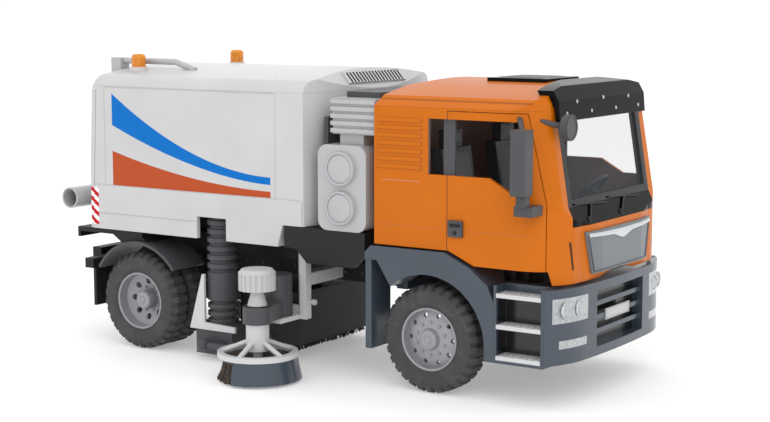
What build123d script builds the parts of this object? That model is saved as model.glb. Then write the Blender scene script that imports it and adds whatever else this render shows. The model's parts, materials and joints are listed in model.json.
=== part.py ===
from build123d import *
import os
from math import cos, radians, sin, sqrt

os.makedirs("parts", exist_ok=True)

# Toy street sweeper truck at 1:16, in millimetres.
# Drawn with the rear axle at x 0, the centre plane at y 0 and the ground at z 0;
# +X is the way it drives, +Y its left side. save() moves it to the middle of its box.

# Fits
turn_gap = 0.05
end_play = 0.5
seam = 0.4
rest_gap = 0.3
wall = 2.5
beyond = 20.0

# Wheels and axles
wheelbase = 237.5
track_half = 77.0
tyre_r = 34.0
tyre_w = 20.0
twin_w = 17.0
twin_gap = 3.0
tyre_shoulder = 4.0
lugs = 30
lug_h = 1.4
lug_share = 0.6
bead_step = 1.5
rim_r = 20.0
rim_wall = 1.6
hub_r = 6.0
hub_cap = 3.0
disc_t = 2.4
front_disc_in = 6.0
front_hub_in = 3.0
front_cap_in = 0.5
front_holes = 10
front_hole_r = 1.5
front_hole_ring = 15.4
rear_disc_in = 9.0
rear_hub_in = 13.0
rear_cap_in = 5.0
rear_holes = 8
rear_hole_r = 2.1
rear_hole_ring = 12.6
axle_r = 2.2
axle_beam = 5.0
front_spring_half = 26.0
rear_spring_half = 30.0

# Ladder frame and rear beam
rail_y = 19.5
rail_w = 5.0
rail_z = 54.0
rail_h = 12.0
rail_tail = 52.0
cross_w = 8.0
cross_inset = 2.0
cab_rest_ahead = 18.0
rear_beam_half = 58.0
rear_beam_depth = 8.0
rear_beam_drop = 1.0
lamp_w = 11.0
lamp_h = 6.5
lamp_t = 1.2
lamp_edge = 2.0
lamp_space = 1.0
flap_t = 2.5
flap_in = 44.0
flap_out = 73.0
flap_foot = 26.0
flap_gap = 9.0
flap_head = 8.0
flap_arm = 6.0
tow_len = 10.0
tow_half = 7.0
tow_r = 2.6

# Tipping frame and rear fenders
subframe_half = 30.0
shelf_tail = 58.7
shelf_front = 2.0
shelf_half = 74.0
shelf_rise = 12.8
shelf_t = 3.2
shelf_lip = 4.0
rest_half = 24.0
fender_gap = 8.0
fender_t = 2.0
fender_proud = 1.0
fender_short = 5.0
fender_rear_deg = 31.0
fender_front_deg = 37.0

# Engine and the units behind the cab
engine_len = 70.0
engine_half = 13.5
engine_z = 44.0
engine_h = 41.0
engine_ahead = 12.0
foot_w = 6.0
foot_h = 5.0
base_gap = 8.0
base_len = 63.0
base_rise = 16.5
base_t = 14.0
base_skirt = 9.0
unit_gap = 7.0
unit_len = 37.0
unit_w = 35.0
unit_h = 55.0
unit_corner = 7.0
cover_r = 11.0
cover_t = 2.2
cover_pitch = 25.0
filter_gap = 3.0
filter_len = 33.0
filter_rise = 6.5
filter_h = 23.0
filter_in = 4.0
filter_ribs = 5
rib_t = 1.6
radiator_h = 71.5
wing_t = 3.0
plate_t = 3.5

# Cab: lengths ahead of the front axle, then heights above the sill
cab_behind = 39.5
door_rear_ahead = 13.5
corner_ahead = 65.5
door_front_ahead = 78.5
screen_top_ahead = 75.5
screen_foot_ahead = 85.5
chin_ahead = 90.5
nose_ahead = 92.5
cab_half = 77.0
cab_sill_rise = 25.0
cab_floor_rise = 3.0
door_sill_drop = 8.0
chin_drop = 16.4
nose_rise = 15.0
screen_foot_rise = 29.0
window_sill_rise = 46.0
gutter_rise = 86.5
roof_edge_rise = 6.5
roof_rise = 15.0
roof_edge_in = 7.0
screen_in = 20.0
corner_in = 29.0
band_h = 11.5
door_drop = 1.5
window_drop = 6.5
window_dip = 9.0
window_front_in = 9.0
pillar_t = 1.5
panel_ribs = 7
rib_pitch = 4.8
rib_proud = 0.6
grille_half = 45.0
grille_taper = 7.0
grille_rise = 4.0
grille_h = 26.0
grille_t = 1.8
visor_half = 60.0
visor_t = 2.5
visor_reach = 5.0
visor_drop = 6.5
hatch_ahead = 9.5
hatch_len = 42.0
hatch_half = 22.0
hatch_t = 3.0
seat_in = 16.0
seat_w = 36.0
seat_ahead = -9.5
seat_len = 30.0
seat_h = 16.0
seat_back_h = 56.0
headrest_half = 9.0
headrest_h = 11.0
dash_half = 60.0
dash_len = 22.0
wheel_r = 11.0
wheel_wire = 1.3
mirror_reach = 20.0
mirror_w = 14.0
mirror_depth = 10.0
mirror_ahead = 66.5
mirror_h = 38.0
mirror_drop = 7.0
arm_r = 1.6
handle_l = 10.0
handle_t = 1.6
dish_r = 7.8
dish_t = 4.0

# Front fenders, steps and bumper
arch_gap = 7.0
arch_end_deg = 130.0
front_fender_behind = 45.5
front_fender_ahead = 47.5
front_fender_w = 24.0
front_fender_proud = 2.0
front_flap_foot = 24.0
step_len = 34.0
step_z = 26.0
step_depth = 12.0
step_w = 23.0
step_pitch = 19.0
cheek = 2.0
tread_t = 2.6
bumper_depth = 13.0
bumper_z = 27.5
bumper_gap = 1.6
bumper_corner = 48.0
headlight_in = 44.0
headlight_out = 4.5
foglight_in = 45.0
foglight_out = 9.0
headlight_rise = 25.0
headlight_h = 15.0
foglight_rise = 9.5
foglight_h = 5.0
lamp_depth = 9.5
lower_grille_half = 33.0
lower_grille_rise = 5.5
lower_grille_h = 34.5
lower_grille_depth = 6.0
slats = 3
slat_h = 3.0

# Container
box_tail = 45.0
box_half = 76.0
box_rest_gap = 0.6
box_unit_gap = 11.5
box_side_h = 103.4
crown_rise = 11.0
box_bow = 9.5
box_lean = 5.0
box_corner = 12.0
arch_run = 13.0
arch_drop = 14.0
skirt_h = 31.0
skirt_proud = 0.8
skirt_gap = 5.0
step_gap = 0.5
notch_behind = 10.0
notch_ahead = 15.0
roof_seam_drop = 3.0
gate_t = 3.5
gate_drop = 6.0
vent_half = 34.0
vent_t = 1.5
vent_slots = 17
pipe_r = 7.5
pipe_wall = 1.2
pipe_behind = 20.0
pipe_rise = 19.4
pipe_mouth = 75.0
pipe_end = 45.0
beacon_r = 5.0
beacon_in = 21.0
beacon_ahead = 30.0
beacon_rise = 8.0
beacon_base_r = 6.2
beacon_base_h = 2.0
bar_in = 31.0
bar_r = 2.2
bar_len = 56.0
bar_run_down = 18.0
bar_rise = 2.5
bar_block = 9.0

# Sweeping gear
housing_rear = 72.0
housing_len = 49.0
housing_half = 53.0
housing_z = 12.0
housing_h = 36.0
roller_r = 15.2
roller_short = 5.0
shaft_r = 2.0
ground_gap = 0.6
hose_x = 64.0
hose_r = 10.5
hose_groove = 1.6
hose_pitch = 5.2
hose_gap = 0.5
cuff_rise = 16.0
cuff_h = 16.0
mouth_behind = 15.0
mouth_ahead = 16.0
mouth_w = 20.0
mouth_z = 3.0
mouth_h = 21.0
guide_r = 2.2
guide_knob_r = 4.6
guide_half = 13.0
guide_out = 6.0
guide_z = 10.5
guard_plate_t = 2.0
guard_plate_h = 38.0

# Side brush
swing_x = 118.0
swing_out = 21.0
arm_ahead = 8.0
arm_out = 30.0
pin_r = 4.0
boss_r = 11.0
boss_z = 37.0
boss_h = 27.0
bracket_t = 3.0
bracket_behind = 18.0
bracket_ahead = 13.0
post_w = 5.0
brush_r = 28.5
brush_top_r = 25.5
brush_h = 14.8
bristle_hole_r = 12.0
skirt_t = 1.1
guard_r = 24.0
guard_w = 4.0
guard_t = 3.5
guard_spokes = 5
spoke_r = 1.7
hub_col_r = 7.5
collar_r = 9.5
collar_z = 37.0
collar_h = 11.0
spindle_r = 3.2
neck_r = 6.5
neck_h = 10.6
knob_r = 12.0
knob_h = 13.6
knob_edge = 2.0
knob_ribs = 20
knob_rib_r = 0.8

# Places that follow from those sizes
axle_z = tyre_r
rail_top = rail_z + rail_h
rail_rear = -rail_tail
rail_in = rail_y - rail_w / 2
rail_out = rail_y + rail_w / 2
twin_all = 2 * twin_w + twin_gap
front_y = track_half - tyre_w / 2
rear_y = track_half - twin_all / 2
cab_rear = wheelbase - cab_behind
door_rear = wheelbase + door_rear_ahead
door_front = wheelbase + door_front_ahead
corner_x = wheelbase + corner_ahead
screen_top_x = wheelbase + screen_top_ahead
screen_foot_x = wheelbase + screen_foot_ahead
chin_x = wheelbase + chin_ahead
nose_x = wheelbase + nose_ahead
cab_sill = rail_top + cab_sill_rise
cab_floor = cab_sill + cab_floor_rise
door_sill = cab_sill - door_sill_drop
chin_z = cab_sill - chin_drop
nose_z = cab_sill + nose_rise
screen_foot_z = cab_sill + screen_foot_rise
window_sill = cab_sill + window_sill_rise
gutter_z = cab_sill + gutter_rise
roof_edge_z = gutter_z + roof_edge_rise
roof_z = gutter_z + roof_rise
door_top = gutter_z - door_drop
window_top = gutter_z - window_drop
screen_half = cab_half - screen_in
front_fender_rear = wheelbase - front_fender_behind
front_fender_front = wheelbase + front_fender_ahead
front_fender_out = cab_half + front_fender_proud
front_fender_in = front_fender_out - front_fender_w
front_fender_top = cab_sill - 2.5 * seam
step_front = front_fender_front + step_len
bumper_top = chin_z - bumper_gap
step_top = bumper_top + seam
bumper_nose = step_front + bumper_depth
bumper_half = front_fender_out
rail_front = step_front - seam / 4
base_front = cab_rear - base_gap
base_rear = base_front - base_len
base_half = box_half
base_z = rail_top + base_rise
base_top = base_z + base_t
unit_front = cab_rear - unit_gap
unit_rear = unit_front - unit_len
unit_in = base_half - unit_w
unit_top = base_top + unit_h
filter_front = cab_rear - filter_gap
filter_rear = filter_front - filter_len
filter_out = base_half - filter_in
filter_z = unit_top + filter_rise
filter_top = filter_z + filter_h
shelf_z = rail_top + shelf_rise
shelf_top = shelf_z + shelf_t
shelf_rear = -shelf_tail
fender_r = tyre_r + fender_gap
fender_out = track_half + fender_proud
fender_in = track_half - twin_all + fender_short
box_rear = -box_tail
box_front = unit_rear - box_unit_gap
box_z = shelf_top + box_rest_gap
box_side_top = box_z + box_side_h
box_crown = box_side_top + crown_rise
gate_top = box_side_top - gate_drop
skirt_step_z = base_top + step_gap
skirt_front = base_rear - skirt_gap
skirt_top = box_z + skirt_h
load_floor = skirt_step_z + 2 * step_gap
pipe_x = box_rear - pipe_behind
pipe_z = box_z + pipe_rise
housing_front = housing_rear + housing_len
housing_top = housing_z + housing_h
roller_x = housing_rear + housing_len / 2
roller_z = roller_r + ground_gap
roller_half = housing_half - roller_short
mouth_out = housing_half + mouth_w
mouth_rear = hose_x - mouth_behind
mouth_front = hose_x + mouth_ahead
hose_y = housing_half + mouth_w / 2 - 2 * end_play
hose_foot = mouth_z + mouth_h
hose_top = load_floor - hose_gap
swing_y = housing_half + swing_out
brush_x = swing_x + arm_ahead
brush_y = swing_y + arm_out
collar_top = collar_z + collar_h
knob_z = collar_top + neck_h
mirror_out = cab_half + mirror_reach
origin_x = (pipe_x - pipe_r + bumper_nose) / 2
origin_y = (front_fender_out + end_play - brush_y - brush_r) / 2


# Drawing helpers
def loop(points, place):
    """Closed face through (u, v) points; a point marked "arc" is the middle of an arc."""
    edges = []
    count = len(points)
    start = next(i for i, p in enumerate(points) if len(p) == 2)
    order = [points[(start + i) % count] for i in range(count)] + [points[start]]
    i = 0
    while i < count:
        here = place(*order[i][:2])
        if len(order[i + 1]) == 3:
            middle = place(*order[i + 1][:2])
            edges.append(Edge.make_three_point_arc(here, middle, place(*order[i + 2][:2])))
            i += 2
        else:
            edges.append(Edge.make_line(here, place(*order[i + 1][:2])))
            i += 1
    return make_face(Wire(edges))


def prism_x(points, x0, x1):
    """Outline of (y, z) points, run from x0 to x1."""
    return extrude(loop(points, lambda u, v: (x0, u, v)), amount=x1 - x0, dir=(1, 0, 0))


def prism_y(points, y0, y1):
    """Outline of (x, z) points, run from y0 to y1."""
    return extrude(loop(points, lambda u, v: (u, y0, v)), amount=y1 - y0, dir=(0, 1, 0))


def prism_z(points, z0, z1, lean=0.0):
    """Outline of (x, y) points, run from z0 to z1; lean moves it along x for each unit of height."""
    rise = z1 - z0
    return extrude(loop(points, lambda u, v: (u, v, z0)), amount=rise * sqrt(1 + lean**2), dir=(lean, 0, 1))


def slab(x0, x1, y0, y1, z0, z1):
    """Block between two corners."""
    middle = Pos((x0 + x1) / 2, (y0 + y1) / 2, (z0 + z1) / 2)
    return middle * Box(x1 - x0, y1 - y0, z1 - z0)


def rod_x(y, z, r, x0, x1):
    """Round bar along X."""
    return Pos((x0 + x1) / 2, y, z) * (Rot(0, 90, 0) * Cylinder(r, abs(x1 - x0)))


def rod_y(x, z, r, y0, y1):
    """Round bar along Y."""
    return Pos(x, (y0 + y1) / 2, z) * (Rot(90, 0, 0) * Cylinder(r, abs(y1 - y0)))


def rod_z(x, y, r, z0, z1):
    """Round bar along Z."""
    return Pos(x, y, (z0 + z1) / 2) * Cylinder(r, z1 - z0)


def strut(start, end, r):
    """Round bar between two points."""
    a, b = Vector(*start), Vector(*end)
    along = Plane(origin=a, z_dir=b - a)
    return along * Pos(0, 0, (b - a).length / 2) * Cylinder(r, (b - a).length)


def spun_y(points):
    """Solid turned about the Y axis from (radius, y) points."""
    return revolve(loop(points, lambda u, v: (u, v, 0)), axis=Axis.Y)


def spun_z(points):
    """Solid turned about the Z axis from (radius, z) points."""
    return revolve(loop(points, lambda u, v: (u, 0, v)), axis=Axis.Z)


def across(shape):
    """The same shape on the other side of the truck."""
    return mirror(shape, about=Plane.XZ)


def pair(shape):
    """A right piece and its left twin."""
    return [shape, across(shape)]


def fuse(*shapes):
    """One solid from several that touch."""
    whole = shapes[0]
    for shape in shapes[1:]:
        whole = whole + shape
    return whole


def inset(points, step):
    """Outline moved inwards by step; the points run counter-clockwise."""
    moved = []
    count = len(points)
    for i in range(count):
        (x0, y0), (x1, y1), (x2, y2) = (points[(i + k) % count] for k in (-1, 0, 1))
        before = sqrt((x1 - x0) ** 2 + (y1 - y0) ** 2)
        after = sqrt((x2 - x1) ** 2 + (y2 - y1) ** 2)
        ax, ay = (y0 - y1) / before, (x1 - x0) / before
        bx, by = (y1 - y2) / after, (x2 - x1) / after
        grow = step / (1 + ax * bx + ay * by)
        moved.append((x1 + grow * (ax + bx), y1 + grow * (ay + by)))
    return moved


def save(name, *shapes):
    """Write one node, moved so that the origin is under the middle of the truck."""
    solids = [solid for shape in shapes for solid in shape.solids()]
    placed = [Pos(-origin_x, -origin_y, 0) * solid for solid in solids]
    export_step(placed[0] if len(placed) == 1 else Compound(placed), f"parts/{name}.step")


# Wheels: lugged tyres on one turned rim that runs on a plain axle
def facets(outline_r, count, turn_deg):
    """Corners of a regular outline whose flats are outline_r from the middle."""
    corner_r = outline_r / cos(radians(180 / count))
    turns = [radians(turn_deg + 360 * (i + 0.5) / count) for i in range(count)]
    return [(corner_r * cos(turn), corner_r * sin(turn)) for turn in turns]


def tread():
    """Side view of the tread, with a lug flat on the ground."""
    pitch = 360 / lugs
    top_r = tyre_r / cos(radians(lug_share * pitch / 2))
    points = []
    for i in range(lugs):
        middle = i * pitch - 90
        for r, side in ((tyre_r - lug_h, -0.5), (top_r, -lug_share / 2), (top_r, lug_share / 2)):
            turn = radians(middle + side * pitch)
            points.append((r * cos(turn), r * sin(turn)))
    return points


def shoulder(edge, inner):
    """Form with flat sides that widens at 45 degrees from a tyre's edge to the plane y = inner."""
    edge_r = tyre_r - tyre_shoulder
    rings = [[(u, y, v) for u, v in facets(r, lugs, -90)]
             for r, y in ((edge_r, edge), (edge_r + abs(inner - edge), inner))]
    sides = [(rings[0][i - 1], rings[0][i], rings[1][i], rings[1][i - 1]) for i in range(lugs)]
    return Solid(Shell([Face(Wire.make_polygon(corners)) for corners in rings + sides]))


def tyre(width, middle):
    """One tyre about the Y axis: tread, sloping shoulders and a bore for the rim."""
    half = width / 2
    blank = prism_y(tread(), middle - half, middle + half)
    for side in (-1, 1):
        blank &= shoulder(middle + side * half, middle - side * half)
    return blank - prism_y(facets(rim_r, lugs, -90), middle - half - 1, middle + half + 1)


def rim(width, disc_in, hub_in, cap_in, holes, hole_ring, hole_r):
    """Barrel, dished disc and hub; y grows outwards from the middle of the tyres."""
    half = width / 2 - bead_step
    bore = axle_r + turn_gap
    barrel = rim_r - rim_wall
    disc_rim = width / 2 - disc_in
    disc_hub = width / 2 - hub_in
    cap_out = width / 2 - cap_in
    body = spun_y([(bore, -half), (hub_r, -half), (hub_r, disc_hub - disc_t), (barrel, disc_rim - disc_t),
                   (barrel, -half), (rim_r, -half), (rim_r, half), (barrel, half), (barrel, disc_rim),
                   (hub_r, disc_hub), (hub_r, cap_out), (0, cap_out), (0, cap_out - hub_cap),
                   (bore, cap_out - hub_cap)])
    for i in range(holes):
        turn = radians(360 * i / holes)
        body -= rod_y(hole_ring * cos(turn), hole_ring * sin(turn), hole_r, -half - 1, half + 1)
    return body


twin_step = (twin_w + twin_gap) / 2
front_tyre = tyre(tyre_w, 0)
rear_tyres = [tyre(twin_w, side * twin_step) for side in (-1, 1)]
front_rim = rim(tyre_w, front_disc_in, front_hub_in, front_cap_in, front_holes, front_hole_ring, front_hole_r)
rear_rim = rim(twin_all, rear_disc_in, rear_hub_in, rear_cap_in, rear_holes, rear_hole_ring, rear_hole_r)

# Columns: name, axle x, middle y, tyres, rim
wheels = [("front", wheelbase, front_y, [front_tyre], front_rim),
          ("rear", 0.0, rear_y, rear_tyres, rear_rim)]
for name, x, y, tyres, wheel_rim in wheels:
    seat = Pos(x, y, axle_z)
    save(f"{name}_tyre_left", *[seat * t for t in tyres])
    save(f"{name}_rim_left", seat * wheel_rim)
    save(f"{name}_tyre_right", *[across(seat * t) for t in tyres])
    save(f"{name}_rim_right", across(seat * wheel_rim))


# Axles: a beam with leaf springs up to the rails, and a plain rod that the wheels run on
def axle(x, wheel_y, width, cap_in, spring_half):
    beam_end = wheel_y - width / 2 + bead_step - end_play
    rod_end = wheel_y + width / 2 - cap_in - hub_cap - end_play
    spring = [(x - spring_half, rail_z), (x - axle_beam, axle_z), (x + axle_beam, axle_z),
              (x + spring_half, rail_z)]
    beam = rod_y(x, axle_z, axle_beam, -beam_end, beam_end)
    return fuse(beam, *pair(prism_y(spring, -rail_out, -rail_in)), rod_y(x, axle_z, axle_r, -rod_end, rod_end))


differential = Pos(0, 0, axle_z) * Sphere(2 * axle_beam)
front_axle = axle(wheelbase, front_y, tyre_w, front_cap_in, front_spring_half)
rear_axle = axle(0.0, rear_y, twin_all, rear_cap_in, rear_spring_half)
save("axles", front_axle, rear_axle + differential)

# Ladder frame, with rests under the cab
frame = fuse(*pair(slab(rail_rear, rail_front, -rail_out, -rail_in, rail_z, rail_top)))
behind_axle = tyre_r
under_units = base_rear + base_len / 3
for x in (rail_rear + cross_w, behind_axle, under_units, cab_rear + cross_w, rail_front - cross_w):
    frame += slab(x - cross_w / 2, x + cross_w / 2, -rail_y, rail_y,
                  rail_z + cross_inset, rail_top - cross_inset)
rest_x = cab_rear + cab_rest_ahead
rest = slab(rest_x - cross_w / 2, rest_x + cross_w / 2, -rail_out, -rail_in, rail_top, cab_sill - rest_gap)
for cab_rest in pair(rest):
    frame += cab_rest
save("chassis_frame", frame)

# Rear beam with the tow jaw, lamps, and mud flaps on short arms
beam_z = rail_z - rear_beam_drop
beam_rear = rail_rear - rear_beam_depth
jaw_h = rail_h - cross_inset
tow_x = beam_rear - tow_len / 2
beam = slab(beam_rear, rail_rear, -rear_beam_half, rear_beam_half, beam_z, rail_top - rear_beam_drop)
beam += slab(beam_rear - tow_len, beam_rear, -tow_half, tow_half, rail_z, rail_z + jaw_h)
beam -= rod_z(tow_x, 0, tow_r, rail_z - 1, rail_top)
flap_x = -tyre_r - flap_gap
flap_top = rail_z + flap_arm
for flap in pair(slab(flap_x - flap_t, flap_x, -flap_out, -flap_in, flap_foot, flap_top)):
    beam += flap
for head in pair(slab(flap_x - flap_head, flap_x, -flap_out - flap_t, -flap_out + flap_head, beam_z, flap_top)):
    beam += head
for arm in pair(slab(rail_rear, flap_x, -rear_beam_half, -rear_beam_half + flap_arm, rail_z, flap_top)):
    beam += arm
save("rear_beam", beam)
lamp_z = beam_z + (rail_h - lamp_h) / 2
lamps = []
for row in range(2):
    y = rear_beam_half - lamp_edge - row * (lamp_w + lamp_space)
    lamps += pair(slab(beam_rear - lamp_t, beam_rear, -y, -y + lamp_w, lamp_z, lamp_z + lamp_h))
save("tail_lamps", *lamps)

# Tipping frame: shelf, side members, rests for the container, and brackets to the fenders
shelf = slab(shelf_rear, shelf_front, -shelf_half, shelf_half, shelf_z, shelf_top)
shelf += slab(shelf_rear, shelf_rear + wall, -shelf_half, shelf_half, shelf_z - shelf_lip, shelf_z)
for member in pair(slab(rail_rear + cross_w, skirt_front - 2, -subframe_half, -rail_in, rail_top, shelf_z)):
    shelf += member
rest_rear = box_rear + 2.5 * cross_w
for rest in pair(slab(rest_rear, skirt_front - 4, -rest_half, -rail_in, shelf_z, load_floor - rest_gap)):
    shelf += rest
fender_top = axle_z + fender_r
fender_cut = rod_y(0, axle_z, fender_r, -fender_out - 1, fender_out + 1)
wedge = [(-0.6 * fender_r, shelf_z), (-0.35 * fender_r, fender_top - 2 * fender_t),
         (0.25 * fender_r, fender_top - 2 * fender_t), (shelf_front, shelf_z)]
for bracket in pair(prism_y(wedge, -shelf_half, -fender_in) - fender_cut):
    shelf += bracket
save("tipping_frame", shelf)

# Rear fenders: a band of a cylinder over each pair of twins
reach = 2 * fender_r
keep = [(0, axle_z), (reach * cos(radians(fender_front_deg)), axle_z + reach * sin(radians(fender_front_deg))),
        (reach, axle_z + reach), (-reach, axle_z + reach),
        (-reach * cos(radians(fender_rear_deg)), axle_z + reach * sin(radians(fender_rear_deg)))]
band = rod_y(0, axle_z, fender_r, -fender_out, -fender_in)
band -= rod_y(0, axle_z, fender_r - fender_t, -fender_out - 1, -fender_in + 1)
save("rear_fenders", *pair(band & prism_y(keep, -fender_out - 1, -fender_in + 1)))

# Engine block on four feet between the rails
engine_x = wheelbase + engine_ahead
engine = slab(engine_x - engine_len / 2, engine_x + engine_len / 2, -engine_half, engine_half,
              engine_z, engine_z + engine_h)
foot_z = rail_z + (rail_h - foot_h) / 2
for x in (engine_x - engine_len / 3, engine_x + engine_len / 3):
    engine += slab(x - foot_w / 2, x + foot_w / 2, -rail_in, rail_in, foot_z, foot_z + foot_h)
save("engine_block", engine)

# Units behind the cab: base on the rails, tanks with round covers, ribbed filter boxes, radiator
base = slab(base_rear, base_front, -base_half, base_half, base_z, base_top)
leg = slab(base_rear + base_len / 2, base_front - cross_w, -rail_out - 2, -rail_in, rail_top, base_z)
for side_leg in pair(leg):
    base += side_leg
skirt = [(base_rear + base_skirt, base_z), (base_rear + 2 * base_skirt, base_z - base_skirt),
         (base_front - base_skirt, base_z - base_skirt), (base_front, base_z)]
for side_skirt in pair(prism_y(skirt, -base_half, -base_half + 2 * wall)):
    base += side_skirt
save("unit_base", base)
bend = unit_corner * (1 - sqrt(0.5))
tank_outline = [(unit_rear + unit_corner, base_top), (unit_front - unit_corner, base_top),
                (unit_front - bend, base_top + bend, "arc"), (unit_front, base_top + unit_corner),
                (unit_front, unit_top - unit_corner), (unit_front - bend, unit_top - bend, "arc"),
                (unit_front - unit_corner, unit_top), (unit_rear + unit_corner, unit_top),
                (unit_rear + bend, unit_top - bend, "arc"), (unit_rear, unit_top - unit_corner),
                (unit_rear, base_top + unit_corner), (unit_rear + bend, base_top + bend, "arc")]
tank = prism_y(tank_outline, -base_half, -unit_in)
for row in (-0.5, 0.5):
    z = base_top + unit_h / 2 + row * cover_pitch
    tank += rod_y(unit_rear + unit_len / 2, z, cover_r, -base_half - cover_t, -base_half)
save("side_tanks", *pair(tank))
rib_step = filter_h / filter_ribs
filter_box = slab(filter_rear, filter_front, -filter_out + rib_t, -unit_in - rib_t, filter_z, filter_top)
for i in range(filter_ribs):
    z = filter_z + (i + 0.2) * rib_step
    filter_box += slab(filter_rear - rib_t / 2, filter_front, -filter_out, -filter_out + 2 * rib_t,
                       z, z + 0.6 * rib_step)
filter_box += slab(filter_rear + filter_in, unit_front - unit_corner, -filter_out + filter_in,
                   -unit_in - filter_in, unit_top, filter_z)
save("filter_boxes", *pair(filter_box))
hood_out = filter_out - unit_w / 3
core = slab(unit_rear + 6, unit_front - 2, -unit_in, unit_in, base_top, base_top + radiator_h)
for wing in pair(slab(unit_rear - wing_t, unit_rear, -base_half + unit_w / 3, -unit_in + wing_t,
                      base_top, base_top + radiator_h)):
    core += wing
for bridge in pair(slab(unit_rear - wing_t, unit_rear + 6, -unit_in, -unit_in + wing_t,
                        base_top, base_top + radiator_h)):
    core += bridge
hood = slab(filter_rear + filter_in, filter_front - filter_in, -hood_out, hood_out,
            filter_top, filter_top + plate_t)
save("radiator", core, hood)

# Front fenders: an arch over the wheel, with a flap behind it and an arm to the rail
arch_r = tyre_r + arch_gap
arch_back = (wheelbase + arch_r * cos(radians(arch_end_deg)), axle_z + arch_r * sin(radians(arch_end_deg)))
lip_h = 9.0
lip_z = front_fender_top - lip_h
arch = [(front_fender_rear, lip_z), (front_fender_rear + lip_h, lip_z), arch_back,
        (wheelbase, axle_z + arch_r, "arc"), (wheelbase + arch_r, axle_z), (wheelbase + arch_r, step_z),
        (front_fender_front, step_z), (front_fender_front, step_top - 1.2 * lip_h),
        (front_fender_front - lip_h / 2, step_top - 1),
        (door_rear + 2 * lip_h - 1, front_fender_top - lip_h + 1), (door_rear - 1, front_fender_top),
        (front_fender_rear + lip_h / 2, front_fender_top), (front_fender_rear, front_fender_top - lip_h / 2)]
fender = prism_y(arch, -front_fender_out, -front_fender_in)
fender += slab(front_fender_rear, front_fender_rear + lip_h / 2, -front_fender_out + 1, -front_fender_in - 1,
               front_flap_foot, lip_z)
arm_x = cab_rear + cross_w / 2
arm_z = rail_top - rail_h / 2
fender += slab(arm_x, arm_x + cross_w, -front_fender_in, -rail_out, arm_z, rail_top)
fender += slab(arm_x, arm_x + cross_w, -front_fender_in - 2, -front_fender_in + 2, arm_z, lip_z + 2)
save("front_fenders", *pair(fender))

# Steps: a recessed box beside the bumper with a bright tread in each level
step_in = front_fender_out - step_w
step_back = front_fender_out - step_depth
inner_front = step_front - cheek
steps = slab(front_fender_front, step_front, -front_fender_out, -step_in, step_z, step_top)
steps -= slab(front_fender_front + cheek, inner_front, -front_fender_out - 1, -step_back,
              step_z + cheek, step_top + 1)
steps += slab(inner_front - 1.5 * cross_w, inner_front - cross_w / 2, -step_in, -rail_out,
              rail_z, rail_z + rail_h / 2)
save("step_boxes", *pair(steps))
treads = []
for level in range(3):
    z = step_z + cheek + level * step_pitch
    treads += pair(slab(front_fender_front + cheek, inner_front, -front_fender_out - end_play, -step_back,
                        z, z + tread_t))
save("step_treads", *treads)

# Bumper: curved in plan, with lamps set flush and a slatted opening
side_x = step_front + end_play
front_x = bumper_nose - 1.7
corner_mid = (bumper_half + bumper_corner) / 2 + 3.0
plan = [(step_front, -bumper_half), (side_x, -bumper_half), (front_x - 4.2, -corner_mid, "arc"),
        (front_x, -bumper_corner), (bumper_nose, 0, "arc"), (front_x, bumper_corner),
        (front_x - 4.2, corner_mid, "arc"), (side_x, bumper_half), (step_front, bumper_half)]
bumper_blank = prism_z(plan, bumper_z, bumper_top)
bumper = bumper_blank
headlight_z = bumper_z + headlight_rise
foglight_z = bumper_z + foglight_rise
lamps = []
# Columns: inner y, outer y, lower z, height
lamp_sets = [(headlight_in, bumper_half - headlight_out, headlight_z, headlight_h),
             (foglight_in, bumper_half - foglight_out, foglight_z, foglight_h)]
for y0, y1, z0, height in lamp_sets:
    for pocket in pair(slab(front_x - lamp_depth, bumper_nose + 1, -y1, -y0, z0, z0 + height)):
        lamps.append(bumper_blank & pocket)
        bumper -= pocket
save("front_lamps", *lamps)
grille_back = front_x - lower_grille_depth
lower_grille_z = bumper_z + lower_grille_rise
bumper -= slab(grille_back, bumper_nose + 1, -lower_grille_half, lower_grille_half,
               lower_grille_z, lower_grille_z + lower_grille_h)
slat_step = lower_grille_h / (slats + 1)
for i in range(slats):
    z = lower_grille_z + (i + 1) * slat_step
    bumper += slab(grille_back, front_x - 1.5, -lower_grille_half, lower_grille_half,
                   z - slat_h / 2, z + slat_h / 2)
save("front_bumper", bumper)


# Cab: the hull is what its side view, plan and end view share, drawn in by step for the inside.
# Above the foot of the windscreen the plan leans back with the glass.
corner_fall = 8.5
corner_run = 16.5
nose_bulge = 1.5
screen_lean = (screen_top_x - screen_foot_x) / (gutter_z - screen_foot_z)


def cab_plan(step):
    half = cab_half - step
    front = chin_x - 1.0 - step
    bulge = nose_x + nose_bulge - step
    slant = step * sqrt(0.5)
    middle_x = corner_x + corner_run - slant
    middle_y = cab_half - corner_fall - slant
    flat_half = cab_half - corner_in
    return [(cab_rear + step, -half), (corner_x, -half), (middle_x, -middle_y, "arc"), (front, -flat_half),
            (bulge, 0, "arc"), (front, flat_half), (middle_x, middle_y, "arc"), (corner_x, half),
            (cab_rear + step, half)]


def cab_end(step):
    half = cab_half - step
    edge = cab_half - roof_edge_in - step
    return [(-half, 0), (half, 0), (half, gutter_z), (edge, roof_edge_z - step), (0, roof_z - step, "arc"),
            (-edge, roof_edge_z - step), (-half, gutter_z)]


cab_side = [(cab_rear, cab_sill), (door_rear + 1, cab_sill), (door_rear + 19, door_sill),
            (door_front + 1, door_sill), (door_front + 3, chin_z), (chin_x, chin_z), (nose_x, chin_z + 6),
            (nose_x, nose_z), (screen_foot_x, screen_foot_z), (screen_top_x, gutter_z + 3.5),
            (screen_top_x - 4, roof_edge_z + 5), (screen_top_x - 13, roof_z + 1), (cab_rear + 17, roof_z + 1),
            (cab_rear + 5, roof_z - 3.5), (cab_rear, gutter_z)]


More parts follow.
